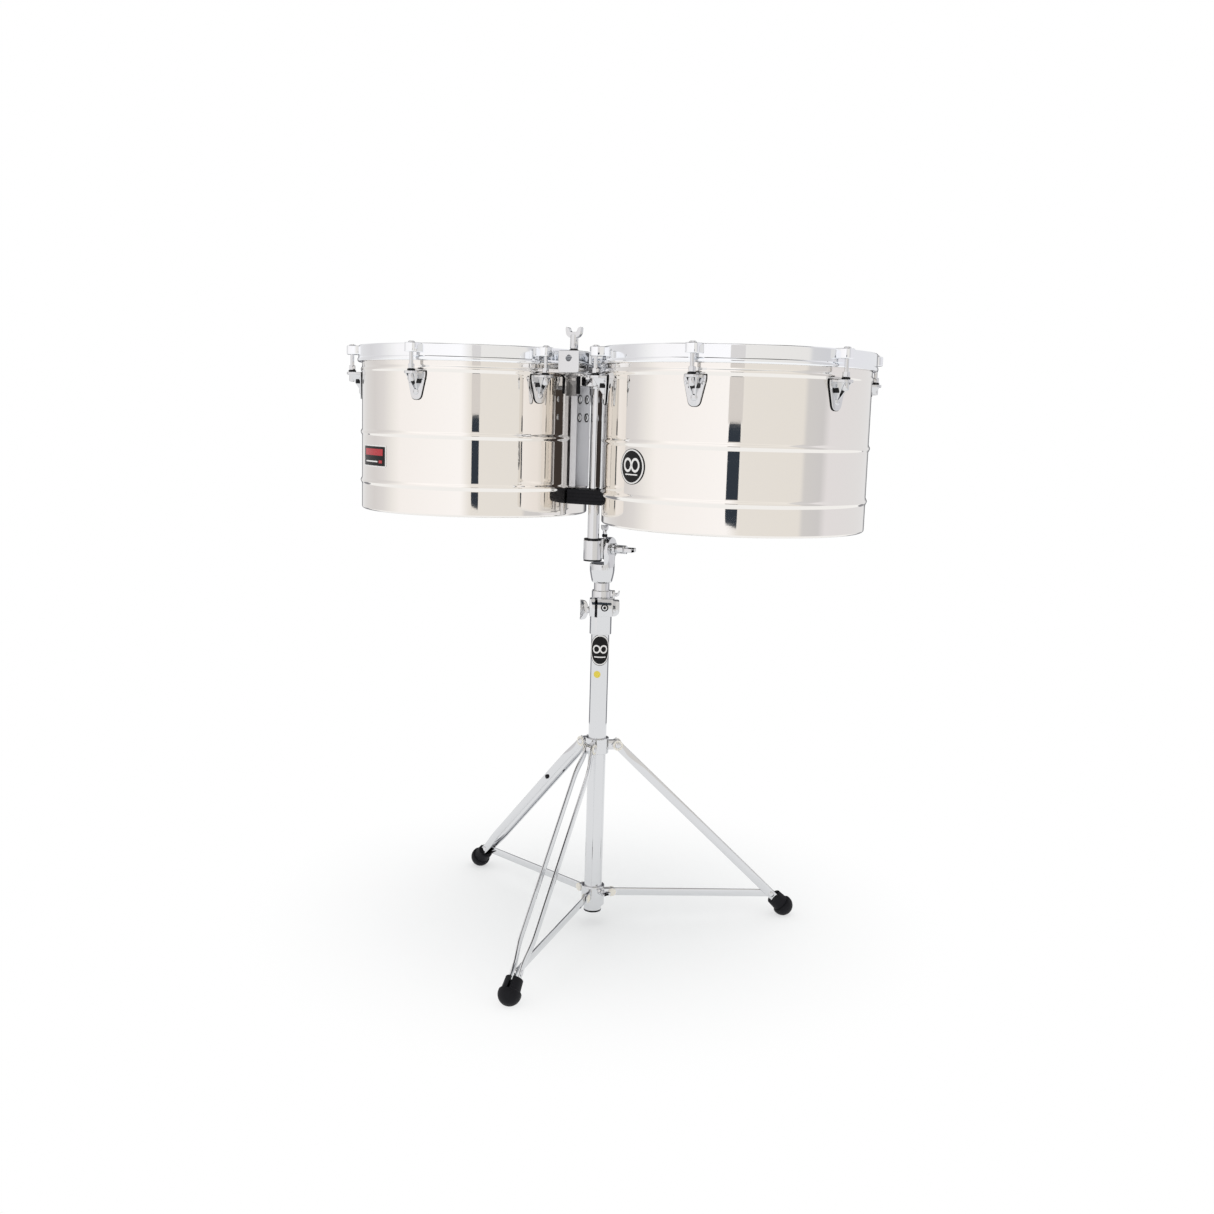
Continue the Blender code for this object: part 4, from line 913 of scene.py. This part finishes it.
def build_legs():
    """Three double-bar legs with their pivots, their braces and their rubber feet."""
    near, far = bowed_bar(1), bowed_bar(-1)
    top_pin = pin(0.0029, -0.0095, 0.0095, "Y", sides=20)
    leg = joined(near, [far, top_pin])
    heads = []
    for s in (0.0, BRACE_PIN):
        for side in PAIR:
            cap = moved(dome(0.0052, 0.0022), turn(-90 * side, "X"))
            heads.append(moved(cap, shift(s, side * (0.0089 if s == 0.0 else 0.0079), 0.0)))
    rivets = joined(heads[0], heads[1:])
    bush = [pin(r, *sorted((side * a, side * b)), "Y", sides=36)
            for r, a, b in ((0.0056, 0.0043, 0.0049), (0.0086, 0.0080, 0.0090)) for side in PAIR]
    bushes = joined(bush[0], bush[1:])
    bumper = joined(pin(0.0040, 0.0125, 0.0150, "Y", (0.1180, 0.0), 24, 0.0008),
                    [pin(0.0026, 0.0080, 0.0130, "Y", (0.1180, 0.0), 20)])

    start = Vector((COLLAR_PIN[0], COLLAR_PIN[1]))
    lean = math.radians(leg_lean())
    end = Vector((LEG_PIN[0] + BRACE_PIN * math.cos(lean), LEG_PIN[1] - BRACE_PIN * math.sin(lean)))
    length = (end - start).length
    fall = math.degrees(math.atan2(start.y - end.y, end.x - start.x))
    half = 0.0065
    outline = [*arc((0.0, 0.0), half, 90, 270, 14), *arc((length, 0.0), half, -90, 90, 14)]
    brace = joined(slab(outline, -0.0015, 0.0015, "XZ", 0.0007),
                   [pin(0.0027, -0.0056, 0.0056, "Y", sides=20)])
    brace_caps = []
    for side in PAIR:
        cap = moved(dome(0.0070, 0.0016), turn(-90 * side, "X"))
        brace_caps.append(moved(cap, shift(0.0, side * 0.0051, 0.0)))
    brace_caps = joined(brace_caps[0], [brace_caps[1]])

    boot = rubber_boot()
    for k, azimuth in enumerate(LEG_AZIMUTHS, 1):
        place = turn(azimuth) @ shift(LEG_PIN[0], 0.0, LEG_PIN[1]) @ turn(leg_lean(), "Y")
        brace_place = turn(azimuth) @ shift(start.x, 0.0, start.y) @ turn(fall, "Y")
        finish(leg, f"leg_bars_{k}", f"leg_{k}", "chrome", [f"leg_{k}"], place, copy=True)
        finish(rivets, f"leg_rivets_{k}", f"leg_{k}", "chrome", place=place, copy=True)
        finish(bushes, f"leg_bushes_{k}", f"leg_{k}", "pale_nylon", place=place, copy=True)
        if k == 2:
            finish(bumper, "leg_bumper", "leg_2", "rubber", place=place, copy=True)
        finish(brace, f"brace_bar_{k}", f"brace_{k}", "chrome", [f"brace_{k}"], brace_place, copy=True)
        finish(brace_caps, f"brace_caps_{k}", f"brace_{k}", "pale_nylon", place=brace_place, copy=True)
        finish(boot, f"boot_{k}", f"leg_{k}", "rubber", [f"foot_{k}"], place, copy=True)
    drop(leg, rivets, bushes, bumper, brace, brace_caps, boot)


def rubber_boot():
    """A moulded foot in the leg's frame: a sleeve over the bars' ends, a step, and a ball on the floor."""
    centre = math.hypot(FOOT[0] - LEG_PIN[0], LEG_PIN[1] - FOOT[1])
    ball = 0.0178
    profile = [(0.0, 0.4015), (0.0128, 0.4015), (0.0136, 0.4023), (0.0141, 0.4120), (0.0146, 0.4190),
               (0.0146, 0.4202), (0.0160, 0.4206)]
    for a in range(20, 171, 10):
        s = centre - ball * math.cos(math.radians(a))
        if s > 0.4225:
            profile.append((ball * math.sin(math.radians(a)), s))
    profile.append((0.0, centre + ball))
    body = moved(turned(profile, 56), TO_X)
    slope = turn(leg_lean(), "Y")
    floor = moved(block((-0.04, -0.03, -0.05), (0.04, 0.03, 0.0)),
                  (shift(LEG_PIN[0], 0.0, LEG_PIN[1]) @ slope).inverted() @ shift(FOOT[0]))
    pocket = block((0.3995, -0.0083, -0.0073), (0.4145, 0.0083, 0.0073))
    slit = block((0.3995, -0.0020, -0.0015), (0.4215, 0.0020, 0.0300))
    return joined(body, (), [pocket, slit, floor])


# ---- Stage ----
# What the metal sees along each heading, in degrees from +X: a warmer side, a dimmer back, a dark opening.
ROOM = ((-180, (0.74, 0.72, 0.72)), (-164, (0.80, 0.78, 0.78)), (-150, (0.94, 0.92, 0.90)),
        (-140, (1.03, 1.00, 0.99)), (-74, (1.08, 1.06, 1.06)), (-64, (0.88, 0.85, 0.81)),
        (-12, (0.87, 0.84, 0.80)), (-8, (0.70, 0.69, 0.69)), (8, (0.68, 0.67, 0.68)),
        (16, (0.84, 0.82, 0.84)), (86, (0.82, 0.82, 0.83)), (97, (0.10, 0.10, 0.11)),
        (134, (0.12, 0.12, 0.13)), (142, (0.85, 0.85, 0.86)), (160, (0.78, 0.77, 0.77)),
        (180, (0.74, 0.72, 0.72)))
# How much of it is left at each height, where 1 is straight up: a dark ring near the ceiling's middle.
CEILING = ((0.0, 1.0), (0.50, 1.0), (0.70, 1.1), (0.83, 0.95), (0.85, 0.05), (0.94, 0.05), (0.96, 1.2),
           (1.0, 1.2))
WHITE = (1.0, 1.0, 1.0, 1.0)


def blank_tree(owner):
    """An empty node tree on a material or a world."""
    owner.use_nodes = True
    owner.node_tree.nodes.clear()
    return owner.node_tree


def fill_ramp(ramp, stops):
    """Puts (position, colour) stops on a colour ramp, in place of the ones it had."""
    while len(ramp.elements) > 1:
        ramp.elements.remove(ramp.elements[-1])
    for i, (position, colour) in enumerate(stops):
        element = ramp.elements[0] if i == 0 else ramp.elements.new(position)
        element.position = position
        element.color = (*colour, 1.0)


def studio_world(world):
    """Plain white for the eye, an even light for dull surfaces, and a room of broad tones for the metal."""
    tree = blank_tree(world)
    coordinate = add_node(tree, "ShaderNodeTexCoord").outputs["Generated"]
    parts = add_node(tree, "ShaderNodeSeparateXYZ", links={"Vector": coordinate})
    heading = add_node(tree, "ShaderNodeMath", {"operation": "ARCTAN2"},
                       links={0: parts.outputs["Y"], 1: parts.outputs["X"]})
    along = add_node(tree, "ShaderNodeMapRange", values={"From Min": -math.pi, "From Max": math.pi},
                     links={"Value": heading.outputs[0]})
    around = add_node(tree, "ShaderNodeValToRGB", links={"Fac": along.outputs[0]})
    fill_ramp(around.color_ramp, [((degrees + 180) / 360, colour) for degrees, colour in ROOM])
    above = add_node(tree, "ShaderNodeValToRGB", links={"Fac": parts.outputs["Z"]})
    fill_ramp(above.color_ramp, [(height, (value,) * 3) for height, value in CEILING])
    lit = add_node(tree, "ShaderNodeMix", {"data_type": "RGBA", "blend_type": "MULTIPLY"}, {"Factor": 1.0},
                   {"A": around.outputs[0], "B": above.outputs[0]})
    seen = add_node(tree, "ShaderNodeBackground", links={"Color": lit.outputs["Result"]})
    even = add_node(tree, "ShaderNodeBackground", values={"Color": WHITE, "Strength": 0.97})
    plain = add_node(tree, "ShaderNodeBackground", values={"Color": WHITE, "Strength": 1.0})
    path = add_node(tree, "ShaderNodeLightPath")
    room_light = add_node(tree, "ShaderNodeMixShader",
                          links={0: path.outputs["Is Diffuse Ray"], 1: seen.outputs[0], 2: even.outputs[0]})
    both = add_node(tree, "ShaderNodeMixShader",
                    links={0: path.outputs["Is Camera Ray"], 1: room_light.outputs[0], 2: plain.outputs[0]})
    add_node(tree, "ShaderNodeOutputWorld", links={"Surface": both.outputs[0]})


def stage_floor():
    """A pale floor that takes soft shadows near the stand, deepened there by a painted shade, and melts into
    the white room further out.
    """
    bm = bmesh.new()
    bmesh.ops.create_circle(bm, cap_ends=True, segments=96, radius=3.0)
    obj = working(bm)
    obj.name = "studio_floor"
    material = bpy.data.materials.new("pale_floor_paint_with_painted_shade")
    tree = blank_tree(material)
    place = add_node(tree, "ShaderNodeTexCoord").outputs["Object"]
    back = add_node(tree, "ShaderNodeVectorMath", {"operation": "SUBTRACT"}, {1: (-0.038, 0.144, 0.0)},
                    {0: place})
    distance = add_node(tree, "ShaderNodeVectorMath", {"operation": "LENGTH"},
                        links={0: back.outputs["Vector"]})
    # Painted shade: the floor's white glow is weakest round a point just behind the stand and full by 0.64 m
    # out, so the darkening round the stand is partly its real shadows and partly painted.
    painted_shade_fade = add_node(tree, "ShaderNodeMapRange", {"interpolation_type": "SMOOTHSTEP"},
                    {"From Min": 0.06, "From Max": 0.64, "To Min": 0.25, "To Max": 1.0},
                    {"Value": distance.outputs["Value"]})
    paint = add_node(tree, "ShaderNodeBsdfDiffuse", values={"Color": (0.925, 0.94, 0.945, 1)})
    glow = add_node(tree, "ShaderNodeEmission", values={"Color": WHITE, "Strength": 1.0})
    both = add_node(tree, "ShaderNodeMixShader",
                    links={0: painted_shade_fade.outputs[0], 1: paint.outputs[0], 2: glow.outputs[0]})
    add_node(tree, "ShaderNodeOutputMaterial", links={"Surface": both.outputs[0]})
    obj.data.materials.append(material)


def stage_card(name, card, place, level):
    """A hidden card that only the metal sees."""
    moved(card, place).name = name
    material = bpy.data.materials.new(name)
    tree = blank_tree(material)
    glow = add_node(tree, "ShaderNodeEmission", values={"Color": (*level, 1), "Strength": 1.0})
    add_node(tree, "ShaderNodeOutputMaterial", links={"Surface": glow.outputs[0]})
    card.data.materials.append(material)
    card.visible_camera = card.visible_diffuse = card.visible_shadow = False


def add_camera():
    """The eye: 2.07 m from the stand's axis and 0.86 m up, looking slightly down."""
    yaw, pitch, roll, azimuth = (math.radians(v) for v in (0.2695, 8.541, 1.7124, -25.3657))
    forward = Vector((math.sin(yaw) * math.cos(pitch), math.cos(yaw) * math.cos(pitch), -math.sin(pitch)))
    level = Vector((math.cos(yaw), -math.sin(yaw), 0.0))
    over = level.cross(forward)
    right = level * math.cos(roll) + over * math.sin(roll)
    up = -level * math.sin(roll) + over * math.cos(roll)
    to_stand = Matrix.Rotation(-azimuth, 3, "Z")
    columns = [to_stand @ right, to_stand @ up, to_stand @ -forward]
    rotation = Matrix(columns).transposed().to_4x4()
    camera = bpy.data.objects.new("camera", bpy.data.cameras.new("camera"))
    camera.data.lens = 37.56
    camera.data.sensor_width = 36.0
    camera.matrix_world = STAND @ shift(0.8887, -1.8745, 0.8588) @ rotation
    bpy.context.scene.collection.objects.link(camera)
    bpy.context.scene.camera = camera


# ---- Settings ----
class TimbalesColours(bpy.types.PropertyGroup):
    """Colours of the main finishes, as sRGB hex"""

    stainless: StringProperty(name="Shells", description="Buffed stainless steel", default="#f1eeea")
    chrome: StringProperty(name="Chrome", description="Chrome-plated hardware", default="#dadbdd")
    bracket: StringProperty(name="Channels", description="Zinc-plated channels on the shells",
                            default="#d6d7da")
    film: StringProperty(name="Heads", description="Coated drum film", default="#ecebe4")
    rubber: StringProperty(name="Rubber", description="Feet, plug and pad", default="#07080c")


class TimbalesSizes(bpy.types.PropertyGroup):
    """Sizes a user may change without touching the frame"""

    badge_height: FloatProperty(name="Oval badge height", description="Height of the larger drum's badge",
                                default=0.0515, unit="LENGTH")
    badge_width: FloatProperty(name="Oval badge width", description="Width of the larger drum's badge",
                               default=0.0380, unit="LENGTH")


class Piece:
    """What every operator here shares."""

    bl_options = {"REGISTER", "UNDO"}


class TIMBALES_OT_materials(Piece, bpy.types.Operator):
    """Make every finish used on the drums and the stand"""

    bl_idname = "timbales.materials"
    bl_label = "Make the finishes"

    def execute(self, context):
        FINISH.update(make_materials(context.scene.timbales_colours))
        return {"FINISHED"}


class TIMBALES_OT_shells(Piece, bpy.types.Operator):
    """Build the two beaded shells"""

    bl_idname = "timbales.shells"
    bl_label = "Shells"

    def execute(self, context):
        for drum in DRUMS:
            build_shell(drum)
        return {"FINISHED"}


class TIMBALES_OT_heads(Piece, bpy.types.Operator):
    """Build the heads and their flesh hoops"""

    bl_idname = "timbales.heads"
    bl_label = "Heads"

    def execute(self, context):
        for drum in DRUMS:
            build_head(drum)
        return {"FINISHED"}


class TIMBALES_OT_rims(Piece, bpy.types.Operator):
    """Build the counterhoops with their ears"""

    bl_idname = "timbales.rims"
    bl_label = "Counterhoops"

    def execute(self, context):
        for drum in DRUMS:
            build_rim(drum)
        return {"FINISHED"}


class TIMBALES_OT_lugs(Piece, bpy.types.Operator):
    """Build the lugs, tension rods and washers"""

    bl_idname = "timbales.lugs"
    bl_label = "Lugs and rods"

    def execute(self, context):
        for drum in DRUMS:
            build_lugs(drum)
        return {"FINISHED"}


class TIMBALES_OT_badges(Piece, bpy.types.Operator):
    """Build the plain badges on the drums and the tube"""

    bl_idname = "timbales.badges"
    bl_label = "Badges"

    def execute(self, context):
        sizes = context.scene.timbales_sizes
        build_oval_badge("drum_badge", "drum_carrier", CENTRE["large"], RADIUS["large"], -116.6, 0.7888,
                         sizes.badge_width / 2 * 1.4, sizes.badge_height / 2)
        build_oval_badge("tube_badge", "stand", (0.0, 0.0, 0.0), 0.0150, -63.4, 0.4770, 0.0180, 0.0261)
        build_plate_badge()
        dot = oval(0.0058, 0.0058, 0.0, 0.0003)
        finish(wrapped(dot, 0.0150, -78.3, 0.4359, 0.0001), "tube_label_dot", "stand", "yellow_dot")
        return {"FINISHED"}


class TIMBALES_OT_holder(Piece, bpy.types.Operator):
    """Build what holds the drums: channels, carrier, mast, clamp and pad"""

    bl_idname = "timbales.holder"
    bl_label = "Drum holder"

    def execute(self, context):
        for drum in DRUMS:
            build_bracket(drum)
        build_carrier()
        build_mast()
        build_accessory_clamp()
        build_spacer()
        return {"FINISHED"}


class TIMBALES_OT_column(Piece, bpy.types.Operator):
    """Build the tilter, the tubes and their clamps"""

    bl_idname = "timbales.column"
    bl_label = "Column"

    def execute(self, context):
        build_tilter()
        build_column()
        build_height_clamp()
        return {"FINISHED"}


class TIMBALES_OT_tripod(Piece, bpy.types.Operator):
    """Build the collars, legs, braces and feet"""

    bl_idname = "timbales.tripod"
    bl_label = "Tripod"

    def execute(self, context):
        build_collars()
        build_legs()
        return {"FINISHED"}


class TIMBALES_OT_stage(Piece, bpy.types.Operator):
    """Set up the floor, the room's light and the camera"""

    bl_idname = "timbales.stage"
    bl_label = "Stage"

    def execute(self, context):
        scene = context.scene
        scene.view_settings.view_transform = "Standard"
        scene.world = scene.world or bpy.data.worlds.new("room")
        studio_world(scene.world)
        stage_floor()
        strip = rounded([(-0.27, 0.580), (0.24, 0.536), (0.24, 0.852), (-0.27, 0.852)], 0.04, 6)
        strip = slab(strip, -0.002, 0.002, "XZ")
        strip_place = STAND @ shift(0.945, -1.99) @ turn(-28)
        stage_card("dark_strip_card", strip, strip_place, (0.035, 0.045, 0.06))
        pole = slab(corners(-0.30, 0.851, 0.30, 1.60), -0.002, 0.002, "XZ")
        stage_card("pale_strip_card", pole, strip_place, (0.74, 0.71, 0.69))
        wall = slab([*arc((0, 0), 1.35, 58, 172, 24), *arc((0, 0), 1.36, 172, 58, 24)], 0.02, 0.50)
        stage_card("low_back_card", wall, STAND, (0.28, 0.28, 0.30))
        # Painted shade: a dark brown card standing in the gap between the drums, seen only by the metal, so
        # that the shells reflect that gap as dark.
        gap = block((0.0138, -0.0460, 0.745), (0.0141, 0.0040, 0.900))
        stage_card("gap_shade_card", gap, STAND, (0.05, 0.04, 0.035))
        add_camera()
        return {"FINISHED"}


class TIMBALES_PT_panel(bpy.types.Panel):
    """The timbales' pieces, sizes and colours"""

    bl_idname = "TIMBALES_PT_panel"
    bl_label = "Timbales"
    bl_space_type = "VIEW_3D"
    bl_region_type = "UI"
    bl_category = "Timbales"

    def draw(self, context):
        column = self.layout.column()
        for group in (context.scene.timbales_sizes, context.scene.timbales_colours):
            for name in group.__annotations__:
                column.prop(group, name)
        for operator in OPERATORS:
            column.operator(operator.bl_idname)


OPERATORS = (TIMBALES_OT_materials, TIMBALES_OT_shells, TIMBALES_OT_heads, TIMBALES_OT_rims,
             TIMBALES_OT_lugs, TIMBALES_OT_badges, TIMBALES_OT_holder, TIMBALES_OT_column,
             TIMBALES_OT_tripod, TIMBALES_OT_stage)
CLASSES = (TimbalesColours, TimbalesSizes, *OPERATORS, TIMBALES_PT_panel)


def register():
    """Adds the panel, the settings and the operators."""
    for item in CLASSES:
        bpy.utils.register_class(item)
    bpy.types.Scene.timbales_colours = PointerProperty(type=TimbalesColours)
    bpy.types.Scene.timbales_sizes = PointerProperty(type=TimbalesSizes)


def unregister():
    """Takes them away again."""
    del bpy.types.Scene.timbales_sizes
    del bpy.types.Scene.timbales_colours
    for item in reversed(CLASSES):
        bpy.utils.unregister_class(item)


def main():
    """Builds everything."""
    register()
    for operator in OPERATORS:
        group, name = operator.bl_idname.split(".")
        getattr(getattr(bpy.ops, group), name)()


if __name__ == "__main__":
    main()
